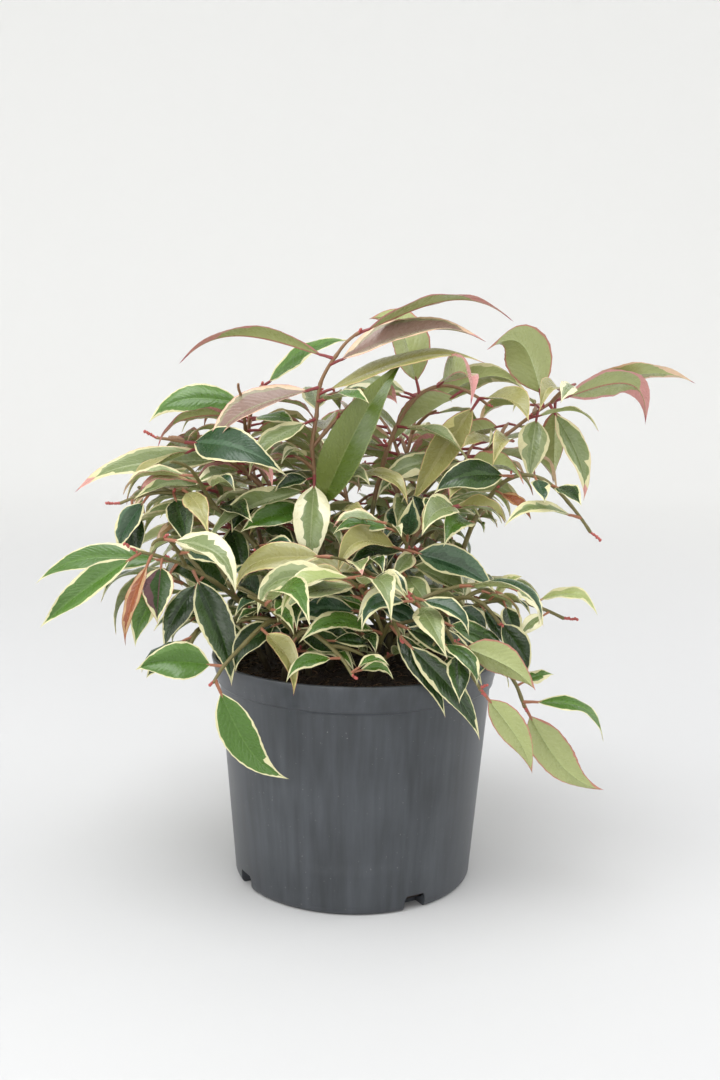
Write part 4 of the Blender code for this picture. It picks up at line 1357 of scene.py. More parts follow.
class Blades:
    """The leaf blades of one limb, gathered into one mesh with a material for each shade."""

    def __init__(self, looks):
        self.looks = looks
        self.points = []
        self.faces = []
        self.shades = []
        self.shade_of = []
        self.places = []
        self.count = 0

    def shade(self, name):
        if name not in self.shades:
            self.shades.append(name)
        return self.shades.index(name)

    def face(self, shade, *corners):
        self.faces.append(corners)
        self.shade_of.append(shade)

    def add(self, leaf, rng):
        shades, margin, reach, bays, flush = TONES[leaf.tone]
        rows = max(ROWS[0], min(ROWS[1], round(leaf.length / ROW_GAP)))
        down = np.linspace(0.0, 1.0, rows) ** ROW_CROWDING * LAST_ROW
        left, right = (self.zones(leaf, rng, down, margin, reach, bays, flush) for _ in range(2))
        middle = np.zeros((rows, 1))
        upper = np.concatenate([-left[:, ::-1], middle, right], axis=1)
        low, high = left[:, 4:5], right[:, 4:5]
        rib = np.minimum(RIB_BELOW, np.minimum(low, high) * 0.3)
        under = np.concatenate([-low, -low * 0.5, -rib, middle, rib, high * 0.5, high], axis=1)
        self.weave(leaf, rng, shades.split(", "), flush, down, upper, under)

    def zones(self, leaf, rng, down, margin, reach, bays, flush):
        """Across half of the blade, row by row: where the rib, the patch, the heart and the margin end."""
        rows = len(down)
        width = self.half(leaf, down)
        margin *= rng.uniform(*MARGIN_SHARE)
        band = margin * MM * np.clip(1 + drift(rng, rows, *MARGIN_DRIFT), *MARGIN_SWING)
        while rng.random() < bays:
            place = rng.uniform(*BAY_PLACES)
            length = rng.uniform(*BAY_LENGTH)
            band += rng.uniform(*BAY_DEPTH) * MM * np.exp(-((down - place) / length) ** 2)
            bays -= BAY_LOSS
        band *= 1 + np.array([rng.uniform(-MARGIN_JAG, MARGIN_JAG) for _ in down])
        heart = np.clip(1 - band / width, *HEART_SHARES)
        taper = HEART_TAPER + TAPER_GAIN * max(0.0, TAPER_FROM - flush)
        closing = np.clip((down - flush) / taper + 1, 0, 1)
        heart = heart + (HEART_END - heart) * closing ** 2
        patch = reach * (1 - 0.5 * down) + drift(rng, rows, *PATCH_DRIFT)
        patch = np.clip(patch, *PATCH_SHARES) * heart
        edge = np.maximum(1 - EDGE_WIDTH / width, heart * (1 - EDGE_SHARE) + EDGE_SHARE)
        rib = np.minimum(RIB_ABOVE, patch * 0.25)
        return np.stack([rib, patch / 2, patch, (patch + heart) / 2, heart, edge, np.ones(rows)], axis=1)

    def half(self, leaf, blade):
        """Half of the blade's width at each place along it."""
        return np.maximum(leaf.width / 2 * blade_shape(np.clip(blade, 0, 1)), NARROWEST * (1 - blade))

    def surface(self, leaf, curl, blade, across, under):
        """Points on the blade for arrays of places along and across it."""
        blade = blade + self.looks.row_slant * np.abs(across) * blade * (1 - blade)
        share = leaf.stalk + (1 - leaf.stalk) * blade
        root, chord, lift, face = (np.array(v) for v in (leaf.root, leaf.chord, leaf.lift, leaf.face))
        rise = LIFT_SCALE * share * (1 - share ** 3)
        slope = LIFT_SCALE * (1 - 4 * share ** 3)
        centre = root + chord * share[..., None] + lift * rise[..., None]
        along = chord + lift * slope[..., None]
        along = along / np.linalg.norm(along, axis=-1, keepdims=True)
        normal = face - along * (along @ face)[..., None]
        normal = normal / np.linalg.norm(normal, axis=-1, keepdims=True)
        side = np.cross(along, normal)
        turn = math.radians(curl["twist"]) * blade ** 2
        cosine, sine = np.cos(turn)[..., None], np.sin(turn)[..., None]
        side, normal = side * cosine + normal * sine, normal * cosine - side * sine
        width = np.abs(across)
        teeth = np.cos(math.pi * np.arange(len(blade)))[:, None]
        half = self.half(leaf, blade) * (1 + self.looks.serration * teeth * width ** 4)
        swelling = 4 * blade * (1 - blade)
        wave = np.sin(math.tau * curl["waves"] * blade + np.where(across > 0, curl["start"], curl["end"]))
        aside = curl["bend"] * leaf.length * swelling
        droop = curl["hook"] * leaf.length * np.clip(blade * 2.5 - 1.5, 0, 1) ** 2
        centre = centre + side * aside[..., None] - normal * droop[..., None]
        height = half * (curl["fold"] * width + curl["cup"] * width ** 2)
        height = height + self.looks.edge_wave * wave * width ** 2 * swelling
        if under:
            thick = self.looks.thickness * np.sqrt(np.clip(1 - width ** 2, 0, 1))
            keel = np.where(width < 0.02, BLADE_KEEL * (1 - blade), 0)
            height = height - thick - keel
        return centre + side * (half * across)[..., None] + normal * height[..., None]

    def weave(self, leaf, rng, shades, flush, down, upper, under):
        """The blade's points and faces, each face in the shade of its zone."""
        heart, soft, margin, edge, tip, point = shades[:6]
        curl = {name: rng.uniform(*ends) for name, ends in CURLS.items()}
        if not leaf.free:
            curl.update(bend=0.0, hook=0.0)
        rows, columns = upper.shape
        base = np.array(leaf.middle(leaf.stalk)) - np.array(leaf.chord.normalized()) * BASE_SINK
        start = len(self.points)
        for across, below in ((upper, False), (under, True)):
            blade = np.repeat(down[:, None], across.shape[1], axis=1)
            self.points.extend(map(tuple, self.surface(leaf, curl, blade, across, below).reshape(-1, 3)))
            sideways = self.half(leaf, blade) * across / BLADE_UNIT
            lengthways = blade * leaf.length / BLADE_UNIT + self.count * BLADE_STRIDE
            self.places.extend(map(tuple, np.stack([sideways, lengthways], axis=-1).reshape(-1, 2)))
        tip_at = len(self.points)
        end = self.surface(leaf, curl, np.ones((1, 1)), np.zeros((1, 1)), False)[0, 0]
        self.points.extend((tuple(end), tuple(base)))
        self.places.extend(((0.0, leaf.length / BLADE_UNIT), (0.0, 0.0)))
        # On a plain blade one half is painted light and the other painted shade, as a blade folded at its
        # midrib is lit; other blades get their patches at random
        orders = PLAIN_LIT_AND_SHADED_HALVES if leaf.tone == "plain" else (rng.choice(HALVES), rng.choice(HALVES))
        sides = [[(heart, soft)[softer] for softer in order] for order in orders]
        bands = []
        centre = (columns - 1) // 2
        for row in range(rows - 1):
            if down[row] > flush + (1 - flush) * POINT_SHARE:
                bands.append([point, point])
            elif down[row] > flush:
                bands.append([tip, edge])
            else:
                bands.append([margin, edge])
            for column in range(columns - 1):
                away = column - centre if column >= centre else centre - 1 - column
                zones = [soft] + sides[column >= centre] + bands[-1]
                corner = start + row * columns + column
                corners = (corner, corner + 1, corner + columns + 1, corner + columns)
                self.face(self.shade(zones[away]), *corners)
        low_start = start + rows * columns
        self.close_under(start, low_start, tip_at, upper.shape, under.shape[1], shades[5:], bands)
        self.count += 1

    def close_under(self, start, low_start, tip_at, grid, low_columns, shades, bands):
        """The underside with its margin and midrib, and the closed ends at the tip and at the stalk."""
        rows, columns = grid
        point, under, rib = (self.shade(name) for name in shades)

        def ring(row):
            first = start + row * columns
            low = low_start + row * low_columns
            return [first, *range(low, low + low_columns), first + columns - 1]

        count = low_columns + 1
        for row in range(rows - 1):
            here = ring(row)
            there = ring(row + 1)
            margin = self.shade(bands[row][1])
            for i in range(count):
                shade = margin if i in (0, count - 1) else rib if i in (3, 4) else under
                self.face(shade, here[i + 1], here[i], there[i], there[i + 1])
        for row, end, shade in ((rows - 1, tip_at, point), (0, tip_at + 1, under)):
            top = start + row * columns
            low = ring(row)
            pairs = [(top + i, top + i + 1) for i in range(columns - 1)]
            pairs += [(low[i + 1], low[i]) for i in range(count)]
            for pair in pairs:
                self.face(shade, *(pair if row else reversed(pair)), end)

    def make(self, name):
        materials = [leaf_material(shade) for shade in self.shades]
        thing = piece(name, self.points, self.faces, materials, BLADE_CREASE)
        thing.data.polygons.foreach_set("material_index", self.shade_of)
        layer = thing.data.uv_layers.new(name="blade")
        places = [self.places[vertex] for face in self.faces for vertex in face]
        layer.data.foreach_set("uv", [part for place in places for part in place])
        return thing


# Twigs, stalks and buds


def bark_tree():
    """Tubes along every line of a mesh, as thick as its thickness attribute, with a little relief."""
    graph = geometry_tree("bark along a line")
    lines = graph.entry("Geometry", "Geometry")
    sides = graph.entry("Sides", "Int", 8)
    relief = graph.entry("Relief", "Float", 0.0)
    grain = graph.entry("Grain", "Float", 400.0)
    material = graph.entry("Material", "Material")
    curve = graph.node("GeometryNodeMeshToCurve", None, {"Mesh": lines})
    thickness = graph.node("GeometryNodeInputNamedAttribute", {"data_type": "FLOAT"}, {"Name": "thickness"})
    profile = graph.node("GeometryNodeCurvePrimitiveCircle", None, {"Resolution": sides, "Radius": 1.0})
    sockets = {"Curve": curve, "Profile Curve": profile, "Scale": thickness, "Fill Caps": True}
    tube = graph.node("GeometryNodeCurveToMesh", None, sockets)
    bumps = graph.node("ShaderNodeTexNoise", None, {"Scale": grain, "Detail": 3.0})
    offset = graph.scaled(graph.node("GeometryNodeInputNormal"), (bumps - 0.5) * relief)
    rough = graph.node("GeometryNodeSetPosition", None, {"Geometry": tube, "Offset": offset})
    return graph.close(graph.node("GeometryNodeSetShadeSmooth", None, {"Geometry": rough}), material)


def bead_tree():
    """Bead-like buds along every line of a mesh."""
    graph = geometry_tree("buds along a line")
    lines = graph.entry("Geometry", "Geometry")
    gap = graph.entry("Gap", "Float", 1.5 * MM)
    size = graph.entry("Size", "Float", 0.9 * MM)
    seed = graph.entry("Seed", "Int", 3)
    material = graph.entry("Material", "Material")
    curve = graph.node("GeometryNodeMeshToCurve", None, {"Mesh": lines})
    even = graph.node("GeometryNodeResampleCurve", {"mode": "LENGTH"}, {"Curve": curve, "Length": gap})
    bead = graph.node("GeometryNodeMeshIcoSphere", None, {"Radius": 1.0, "Subdivisions": 2})
    scale = graph.scaled(graph.random((0.7, 0.7, 0.8), (1.1, 1.1, 1.4), seed), size)
    turn = graph.random((-0.8, -0.8, 0.0), (0.8, 0.8, 6.28), seed)
    jitter = graph.random((-0.25 * MM,) * 3, (0.25 * MM,) * 3, seed)
    loose = graph.node("GeometryNodeSetPosition", None, {"Geometry": even, "Offset": jitter})
    beads = graph.strewn(loose, bead, turn, scale)
    return graph.close(graph.node("GeometryNodeSetShadeSmooth", None, {"Geometry": beads}), material)


def line_object(name, lines):
    """A mesh of open lines, each a list of (point, thickness)."""
    points = []
    edges = []
    thickness = []
    for line in lines:
        start = len(points)
        points.extend(tuple(point) for point, _ in line)
        thickness.extend(value for _, value in line)
        edges.extend((start + i, start + i + 1) for i in range(len(line) - 1))
    mesh = bpy.data.meshes.new(name)
    mesh.from_pydata(points, edges, [])
    mesh.attributes.new("thickness", "FLOAT", "POINT").data.foreach_set("value", thickness)
    return placed_object(name, mesh)


def stem_line(path, start, end, radius_at, swellings, gap):
    """Points along a stem, swollen a little where a leaf or a twig leaves it."""
    count = max(3, round((end - start) / gap))
    line = []
    for step in range(count + 1):
        distance = start + (end - start) * step / count
        swell = sum(math.exp(-((distance - place) / SWELL_LENGTH) ** 2) for place in swellings)
        line.append((path.point(distance), radius_at(distance) * (1 + SWELL * min(swell, 1.0))))
    return line


def rounded_end(line):
    """The same line with its last stretch drawn in to a blunt bud-like end."""
    last, radius = line[-1]
    direction = (last - line[-2][0]).normalized()
    return line + [(last + direction * radius * reach, radius * share) for reach, share in BLUNT_END]


def stalk_line(leaf):
    """A leaf stalk from inside the stem to just under the blade."""
    line = []
    for share, radius in STALK:
        sink = STALK_SINK if share > 0.9 else 0.0
        spot = leaf.middle(leaf.stalk * share) - leaf.face * sink
        line.append((spot, radius * MM * leaf.stalk_scale))
    return line


def bud_lines(limb, rng):
    """Short strings of red buds in the leaf axils near a limb's tip, and along its very end."""
    lines = []
    for leaf in limb.leaves:
        if rng.random() > BUD_SHARE:
            continue
        lift = (UP * 0.9 + leaf.chord.normalized() * 0.8).normalized()
        start = leaf.root + lift * BUD_START * MM
        length = rng.uniform(*BUD_STRING) * MM
        lines.append([(start, 1.0), (start + lift * length, 1.0)])
    tip = limb.path.point(limb.path.length)
    direction = limb.path.direction(limb.path.length)
    reach = LONG_BUD_REACH if limb.name in BUDDED_ENDS else BUD_REACH
    lines.append([(tip, 1.0), (tip + (direction + UP * 0.4).normalized() * reach, 1.0)])
    return lines


# Settings


class ShrubPot(bpy.types.PropertyGroup):
    colour: bpy.props.FloatVectorProperty(
        name="Colour", description="Shade of the pot's plastic", subtype="COLOR_GAMMA", size=3,
        min=0, max=1, default=(0.237, 0.25, 0.268),
    )
    roughness: bpy.props.FloatProperty(
        name="Roughness", description="How matt the plastic is", min=0, max=1, default=0.36
    )
    sides: bpy.props.IntProperty(
        name="Sides", description="Flat facets round the pot", min=24, max=256, default=144
    )


class ShrubCompost(bpy.types.PropertyGroup):
    relief: bpy.props.FloatProperty(
        name="Relief", description="Height of the lumps", unit="LENGTH", default=2.4 * MM
    )
    crumbs: bpy.props.FloatProperty(
        name="Crumbs", description="Crumbs to a square metre", min=0, default=120000
    )
    fibres: bpy.props.FloatProperty(
        name="Fibres", description="Loose fibres to a square metre", min=0, default=26000
    )


class ShrubBark(bpy.types.PropertyGroup):
    relief: bpy.props.FloatProperty(
        name="Relief", description="Height of the bark's ridges", unit="LENGTH", default=0.35 * MM
    )
    ring_gap: bpy.props.FloatProperty(
        name="Ring gap", description="Spacing of rings along a stem", unit="LENGTH", default=1.2 * MM
    )


class ShrubLeaves(bpy.types.PropertyGroup):
    thickness: bpy.props.FloatProperty(
        name="Thickness", description="Of the blade at its middle", unit="LENGTH", default=0.35 * MM
    )
    serration: bpy.props.FloatProperty(
        name="Serration", description="Depth of the edge's teeth as a share of the width", default=0.014
    )
    edge_wave: bpy.props.FloatProperty(
        name="Edge wave", description="How far the blade's edge waves", unit="LENGTH", default=0.6 * MM
    )
    row_slant: bpy.props.FloatProperty(
        name="Vein run", description="How far forward the side veins reach the edge", default=0.42
    )
    vein_gap: bpy.props.FloatProperty(
        name="Vein gap", description="Spacing of the side veins", unit="LENGTH", default=3.4 * MM
    )
    vein_slant: bpy.props.FloatProperty(
        name="Vein slant", description="Lean of the relief's veins", default=0.9
    )
    gloss_roughness: bpy.props.FloatProperty(
        name="Roughness", description="How matt the leaves are", min=0, max=1, default=0.28
    )


# Pieces


def notch_cutter(angle):
    """A block that cuts one drainage notch through the foot of the wall."""
    outward = Vector((math.cos(angle), math.sin(angle), 0))
    across = Vector((-outward.y, outward.x, 0)) * NOTCH_WIDTH / 2
    near = outward * (BASE_RADIUS - NOTCH_INWARDS)
    far = outward * (BASE_RADIUS + NOTCH_OUTWARDS)
    rings = []
    for height, narrow in ((-2 * MM, 1.0), (NOTCH_HEIGHT * 0.8, 0.9), (NOTCH_HEIGHT, 0.76)):
        aside = across * narrow
        corners = (near - aside, far - aside, far + aside, near + aside)
        rings.append([corner + UP * height for corner in corners])
    return loft(rings)


def panel_cut(angle, height):
    """How deep the label panel is at a place on the wall."""
    from_front = abs((angle - math.radians(-90) + math.pi) % math.tau - math.pi)
    side = (PANEL_HALF_ANGLE - from_front) / PANEL_EDGE_ANGLE
    low = (height - PANEL_LOW) / PANEL_EDGE
    return PANEL_DEPTH * min(max(side, 0.0), 1.0) * min(max(low, 0.0), 1.0)


def pot_rings(sides):
    """Rings of the pot, from under its foot up the outside, over the lip and down the inside."""
    band_low = POT_HEIGHT - BAND_HEIGHT
    lip = RIM_RADIUS - WALL
    band = SHOULDER_RADIUS + BAND_STEP
    wall_top = band_low - 1.4 * MM
    outside = [
        (lip + 0.25 * MM, POT_HEIGHT - 0.12 * MM),
        (lip + 0.7 * MM, POT_HEIGHT),
        (RIM_RADIUS - 0.6 * MM, POT_HEIGHT - 0.05 * MM),
        (RIM_RADIUS - 0.2 * MM, POT_HEIGHT - 0.3 * MM),
        (RIM_RADIUS - 0.02 * MM, POT_HEIGHT - 0.9 * MM),
        (RIM_RADIUS - 0.9 * MM, POT_HEIGHT - 4.5 * MM),
        (band + 0.12 * MM, band_low + 2.0 * MM),
        (band, band_low + 0.5 * MM),
        (band - 0.4 * MM, band_low + 0.1 * MM),
        (SHOULDER_RADIUS + 0.3 * MM, band_low - 0.05 * MM),
        (wall_radius(band_low - 0.7 * MM), band_low - 0.7 * MM),
    ]
    for step in range(WALL_ROWS + 1):
        height = wall_top - (wall_top - FOOT_ROUND) * step / WALL_ROWS
        outside.append((wall_radius(height), height))
    for step in range(1, FOOT_STEPS + 1):
        angle = math.pi / 2 * step / FOOT_STEPS
        outside.append((BASE_RADIUS - FOOT_ROUND * (1 - math.cos(angle)), FOOT_ROUND * (1 - math.sin(angle))))
    inside = [
        (BASE_RADIUS - WALL - FOOT_ROUND, FLOOR),
        (wall_radius(FLOOR + FOOT_ROUND) - WALL, FLOOR + FOOT_ROUND),
        (wall_radius(band_low - 2 * MM) - WALL, band_low - 2 * MM),
        (wall_radius(band_low) - WALL + 0.2 * MM, band_low),
        (lip - 0.8 * MM, band_low + 3 * MM),
        (lip - 0.25 * MM, POT_HEIGHT - 1.2 * MM),
        (lip, POT_HEIGHT - 0.5 * MM),
    ]
    rings = []
    for radius, height in outside[::-1]:
        ring = circle(radius, height, sides)
        if height < band_low - 0.9 * MM:
            for number in range(sides):
                angle = math.tau * number / sides
                left = radius - panel_cut(angle, height)
                ring[number] = Vector((left * math.cos(angle), left * math.sin(angle), height))
        rings.append(ring)
    return rings + [circle(radius, height, sides) for radius, height in inside[::-1]]


class SHRUB_OT_pot(bpy.types.Operator):
    """Make the pot: its stepped rim band, label panel, notched foot and wall"""

    bl_idname = "shrub.pot"
    bl_label = "Pot"

    def execute(self, context):
        material = pot_material()
        pot = piece("pot_shell", *loft(pot_rings(context.scene.shrub_pot.sides)), [material])
        for number in range(NOTCHES):
            angle = FIRST_NOTCH + math.tau * number / NOTCHES
            cutter = piece("notch", *notch_cutter(angle), [material])
            cut = pot.modifiers.new("drainage notch", "BOOLEAN")
            cut.operation = "DIFFERENCE"
            cut.object = cutter
            keep_result(pot)
            bpy.data.objects.remove(cutter, do_unlink=True)
        smooth(pot.data, POT_CREASE)
        dress(pot, "pot", "pot")
        return {"FINISHED"}


def compost_tree():
    """Crumbs and loose fibres strewn over the compost."""
    graph = geometry_tree("crumbs and fibres")
    ground = graph.entry("Geometry", "Geometry")
    counts = [graph.entry(name, "Float", 0.0) for name in ("Crumbs", "Fibres")]
    seed = graph.entry("Seed", "Int", 7)
    stuffs = [graph.entry(name, "Material") for name in ("Crumb material", "Fibre material")]
    facing_up = graph.axis(graph.node("GeometryNodeInputNormal"), 2) > 0.5
    near_top = graph.axis(graph.node("GeometryNodeInputPosition"), 2) > SOIL_EDGE - 4 * MM
    top = facing_up * near_top
    crumb = graph.node("GeometryNodeMeshIcoSphere", None, {"Radius": 1.0, "Subdivisions": 1})
    bend = {"Resolution": 5, "Start": (-0.5, 0, 0), "Middle": (0, 0.3, 0.25), "End": (0.5, 0, 0)}
    arc = graph.node("GeometryNodeCurveQuadraticBezier", None, bend)
    profile = graph.node("GeometryNodeCurvePrimitiveCircle", None, {"Resolution": 4, "Radius": 0.022})
    sockets = {"Curve": arc, "Profile Curve": profile, "Fill Caps": True}
    fibre = graph.node("GeometryNodeCurveToMesh", None, sockets)
    parts = [ground]
    kinds = ((crumb, CRUMB_SIZE, 1.0), (fibre, FIBRE_SIZE, 0.3))
    for (shape, (low, high), lean), count, stuff in zip(kinds, counts, stuffs):
        sockets = {"Mesh": ground, "Selection": top, "Density": count, "Seed": seed}
        points = graph.node("GeometryNodeDistributePointsOnFaces", None, sockets)
        size = graph.random([part * MM for part in low], [part * MM for part in high], seed)
        turn = graph.random((-lean, -lean, 0.0), (lean, lean, math.tau), seed)
        sockets = {"Geometry": graph.strewn(points, shape, turn, size), "Material": stuff}
        parts.insert(0, graph.node("GeometryNodeSetMaterial", None, sockets))
    together = graph.tree.nodes.new("GeometryNodeJoinGeometry")
    for part in parts:
        graph.tree.links.new(part.socket, together.inputs[0])
    return graph.close(Value(graph, together.outputs[0]))


def compost_rings(relief):
    """Rings of the compost: its side, then its lumpy top, inwards."""
    edge = wall_radius(SOIL_EDGE - 6 * MM) - WALL - 0.5 * MM
    side = [
        (BASE_RADIUS - WALL - FOOT_ROUND - 1 * MM, FLOOR + GAP),
        (wall_radius(FLOOR + FOOT_ROUND) - WALL - 1 * MM, FLOOR + FOOT_ROUND + 1 * MM),
        (edge, SOIL_EDGE - 6 * MM),
    ]
    rings = [circle(radius, height, SOIL_SECTORS) for radius, height in side]
    for number in range(SOIL_RINGS):
        ring = circle(edge * (1 - number / SOIL_RINGS), 0, SOIL_SECTORS)
        for point in ring:
            lump = noise.fractal(point * LUMP_SCALE, 0.8, 2.1, 4) * relief
            point.z = soil_top(point.x, point.y) - SOIL_SUNK + lump * LUMP_SHARE
        rings.append(ring)
    return rings + [[Vector((0, 0, soil_top(0, 0) - SOIL_SUNK))]]


class SHRUB_OT_compost(bpy.types.Operator):
    """Make the lumpy compost with its crumbs and fibres"""

    bl_idname = "shrub.compost"
    bl_label = "Compost"

    def execute(self, context):
        looks = context.scene.shrub_compost
        ground = piece("compost", *loft(compost_rings(looks.relief)), [compost_material()])
        values = {
            "Crumbs": looks.crumbs,
            "Fibres": looks.fibres,
            "Crumb material": crumb_material("peat crumb", (0.022, 0.012, 0.008, 1), 0.9),
            "Fibre material": crumb_material("peat fibre", (0.16, 0.09, 0.045, 1), 0.8),
        }
        run_tree(compost_tree(), ground, **values)
        dress(ground, "soil", "soil")
        return {"FINISHED"}


class SHRUB_OT_boughs(bpy.types.Operator):
    """Make the bare lower stretch of every stem, with its bark"""

    bl_idname = "shrub.boughs"
    bl_label = "Boughs"

    def execute(self, context):
        looks = context.scene.shrub_bark
        tubes = bark_tree()
        material = bark_material("stem bark")
        for limb in plant():
            swellings = [limb.bare - NODE_GAP * i for i in range(1, 12)]
            line = stem_line(limb.path, 0.0, limb.bare, limb.radius_at, swellings, looks.ring_gap)
            stem = line_object("stem_" + limb.name, [line])
            run_tree(tubes, stem, Sides=STEM_SIDES, Relief=looks.relief, Grain=STEM_GRAIN, Material=material)
            dress(stem, "bark", "bough_" + limb.name)
        return {"FINISHED"}


def wood_lines(limb, ring_gap):
    """The leafy end of a limb and all its side twigs."""
    swellings = [limb.bare + FIRST_NODE + NODE_GAP * i for i in range(20)]
    lines = [stem_line(limb.path, limb.bare, limb.path.length, limb.radius_at, swellings, 2 * ring_gap)]
    for twig in limb.twigs + limb.twiglets:
        swellings = [twig.length * share for share in (0.25, 0.5, 0.75)]
        lines.append(stem_line(twig, 0, twig.length, side_twig_radius(twig), swellings, 2.5 * ring_gap))
    return [rounded_end(line) for line in lines]


class SHRUB_OT_twigs(bpy.types.Operator):
    """Make the leafy stems, side twigs, leaf stalks and buds"""

    bl_idname = "shrub.twigs"
    bl_label = "Twigs"

    def execute(self, context):
        looks = context.scene.shrub_bark
        rng = random.Random(LOOKS_SEED)
        tubes = bark_tree()
        beads = bead_tree()
        high_skins = [bark_material(name) for name in ("young red bark", "wine leaf stalk")]
        low_skins = [bark_material(name) for name in ("young olive bark", "tawny leaf stalk")]
        bud_skin = bark_material("bud")
        relief = looks.relief * TWIG_RELIEF
        for limb in plant():
            bark_skin, stalk_skin = high_skins if limb.path.points[-1].z > YOUNG_HEIGHT else low_skins
            bark = line_object("bark", wood_lines(limb, looks.ring_gap))
            run_tree(tubes, bark, Sides=TWIG_SIDES, Relief=relief, Grain=TWIG_GRAIN, Material=bark_skin)
            stalks = line_object("stalks", [stalk_line(leaf) for leaf in limb.leaves])
            run_tree(tubes, stalks, Sides=STALK_SIDES, Relief=0.0, Grain=TWIG_GRAIN, Material=stalk_skin)
            buds = line_object("buds", bud_lines(limb, rng))
            seed = rng.randrange(1000)
            run_tree(beads, buds, Gap=BUD_GAP, Size=BUD_SIZE, Seed=seed, Material=bud_skin)
            twigs = join_meshes("twigs_" + limb.name, [bark, stalks, buds])
            dress(twigs, "bark", "foliage_" + limb.name)
        return {"FINISHED"}


class SHRUB_OT_leaves(bpy.types.Operator):
    """Make every leaf blade, marbled and margined in its own tone"""

    bl_idname = "shrub.leaves"
    bl_label = "Leaves"

    def execute(self, context):
        rng = random.Random(LOOKS_SEED)
        for limb in plant():
            blades = Blades(context.scene.shrub_leaves)
            for leaf in limb.leaves:
                leaf.free = leaf.tone is None
                if leaf.free:
                    weights = next(tones for height, tones in TONES_BELOW if leaf.root.z < height)
                    leaf.tone = rng.choices(list(weights), weights.values())[0]
                blades.add(leaf, rng)
            dress(blades.make("leaves_" + limb.name), "leaf", "foliage_" + limb.name)
        return {"FINISHED"}


# Stage

CAMERA_PITCH = math.radians(6.79)
CAMERA_ROLL = math.radians(0.9)
LENS = 36.67
FLOOR_RADIUS = 3.2
WALL_BEND = 0.9
BEND_STEPS = 12
FLOOR_SIDES = 96
BACKDROP_HEIGHT = 3.2
DAYLIGHT = 0.86
# Lights: name, place, what they point at, size, power, colour
LIGHTS = (
    ("overhead", (-0.3, -0.5, 1.7), (0, 0, 0.15), (1.2, 1.0), 16, (0.97, 0.99, 1.0)),
    ("front", (-0.2, -1.5, 0.65), (0, 0, 0.2), (1.4, 0.9), 5, (1.0, 1.0, 0.99)),
    ("window right", (1.5, 0.2, 0.9), (0, 0, 0.15), (1.0, 1.4), 7, (0.99, 0.99, 1.0)),
    ("fill left", (-1.4, -0.9, 0.7), (0, 0, 0.15), (1.0, 1.2), 8, (1.0, 0.99, 0.97)),
)


def floor_mesh():
    """A round pale floor that turns up into a wall all round."""
    rings = [[Vector((0, 0, 0))]]
    for radius in (0.3, 0.8, 1.4, FLOOR_RADIUS - WALL_BEND):
        rings.append(circle(radius, 0.0, FLOOR_SIDES))
    for step in range(1, BEND_STEPS + 1):
        angle = math.pi / 2 * step / BEND_STEPS
        radius = FLOOR_RADIUS - WALL_BEND + WALL_BEND * math.sin(angle)
        rings.append(circle(radius, WALL_BEND * (1 - math.cos(angle)), FLOOR_SIDES))
    rings.append(circle(FLOOR_RADIUS, BACKDROP_HEIGHT, FLOOR_SIDES))
    points, faces = loft(rings, closed=False)
    return points, [tuple(reversed(face)) for face in faces]


def area_light(name, place, target, size, power, colour):
    data = bpy.data.lights.new(name, "AREA")
    data.shape = "RECTANGLE"
    data.size, data.size_y = size
    data.energy = power
    data.color = colour
    light = placed_object(name, data)
    light.location = place
    light.rotation_euler = (Vector(target) - Vector(place)).to_track_quat("-Z", "Y").to_euler()


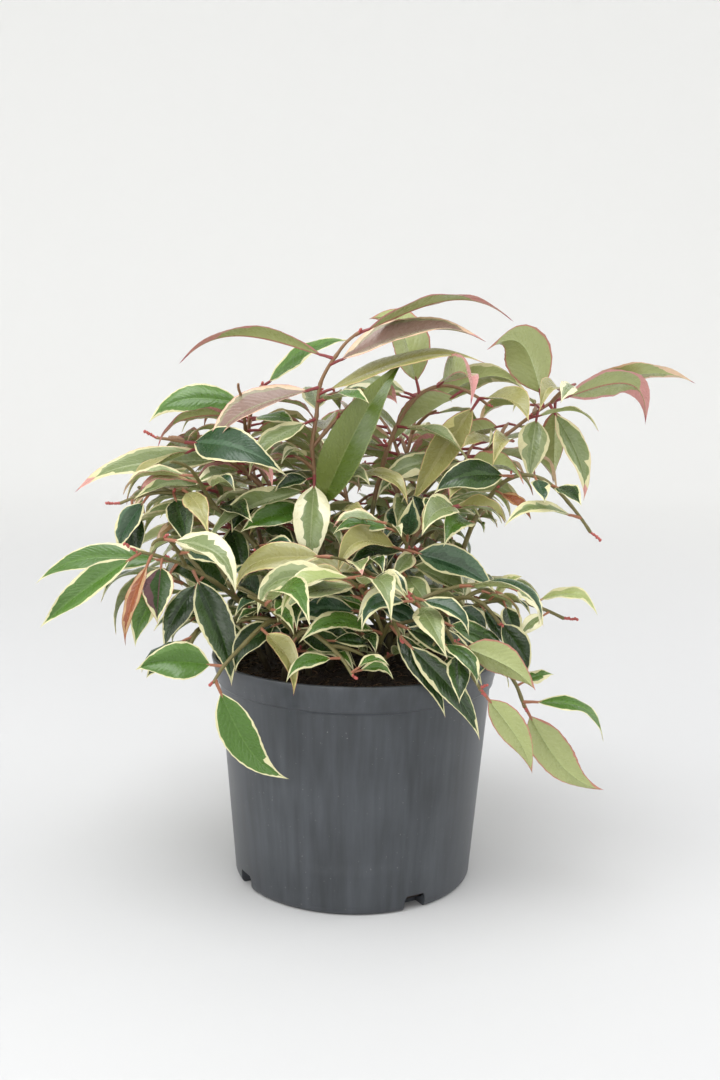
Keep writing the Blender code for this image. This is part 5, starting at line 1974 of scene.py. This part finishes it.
class SHRUB_OT_stage(bpy.types.Operator):
    """Set up the pale floor, the soft light and the camera"""

    bl_idname = "shrub.stage"
    bl_label = "Stage"

    def execute(self, context):
        floor = piece("floor", *floor_mesh(), [paper_painted_light_material()])
        world = bpy.data.worlds.new("soft daylight")
        world.use_nodes = True
        background = world.node_tree.nodes["Background"]
        background.inputs["Color"].default_value = (1.0, 1.0, 1.0, 1)
        background.inputs["Strength"].default_value = DAYLIGHT
        context.scene.world = world
        context.scene.view_settings.view_transform = "Standard"
        for light in LIGHTS:
            area_light(*light)
        data = bpy.data.cameras.new("photograph")
        data.sensor_width = 36
        data.lens = LENS
        data.clip_start = 0.01
        data.clip_end = 30
        camera = placed_object("photograph", data)
        upright = Matrix.Rotation(math.radians(90) - CAMERA_PITCH, 4, "X")
        roll = Matrix.Rotation(CAMERA_ROLL, 4, "Z")
        camera.matrix_world = Matrix.Translation(VIEW_POINT) @ upright @ roll
        context.scene.camera = camera
        return {"FINISHED"}


class SHRUB_PT_panel(bpy.types.Panel):
    """Lists the shrub's settings and pieces"""

    bl_idname = "SHRUB_PT_panel"
    bl_label = "Potted shrub"
    bl_space_type = "VIEW_3D"
    bl_region_type = "UI"
    bl_category = "Shrub"

    def draw(self, context):
        operators = (SHRUB_OT_pot, SHRUB_OT_compost, SHRUB_OT_boughs, SHRUB_OT_leaves)
        for (name, group), operator in zip(SETTINGS.items(), operators):
            box = self.layout.box()
            for setting in group.__annotations__:
                box.prop(getattr(context.scene, name), setting)
            box.operator(operator.bl_idname)
        self.layout.operator(SHRUB_OT_twigs.bl_idname)
        self.layout.operator(SHRUB_OT_stage.bl_idname)


SETTINGS = {
    "shrub_pot": ShrubPot,
    "shrub_compost": ShrubCompost,
    "shrub_bark": ShrubBark,
    "shrub_leaves": ShrubLeaves,
}


CLASSES = (
    *SETTINGS.values(),
    SHRUB_OT_stage,
    SHRUB_OT_pot,
    SHRUB_OT_compost,
    SHRUB_OT_boughs,
    SHRUB_OT_twigs,
    SHRUB_OT_leaves,
    SHRUB_PT_panel,
)


def register():
    for made in CLASSES:
        bpy.utils.register_class(made)
    for name, group in SETTINGS.items():
        setattr(bpy.types.Scene, name, bpy.props.PointerProperty(type=group))


def unregister():
    for name in SETTINGS:
        delattr(bpy.types.Scene, name)
    for made in reversed(CLASSES):
        bpy.utils.unregister_class(made)


def set_stalks():
    """A small leaf has a shorter and thinner stalk than a large one."""
    for limb in plant():
        for leaf in limb.leaves:
            leaf.stalk_scale = min(1.0, STALK_LEAST + (1 - STALK_LEAST) * leaf.length / LEAF_SHORT)
            leaf.stalk = PETIOLE * leaf.stalk_scale / leaf.length


def main():
    register()
    set_stalks()
    bpy.ops.shrub.stage()
    bpy.ops.shrub.pot()
    bpy.ops.shrub.compost()
    bpy.ops.shrub.boughs()
    bpy.ops.shrub.twigs()
    bpy.ops.shrub.leaves()


if __name__ == "__main__":
    main()
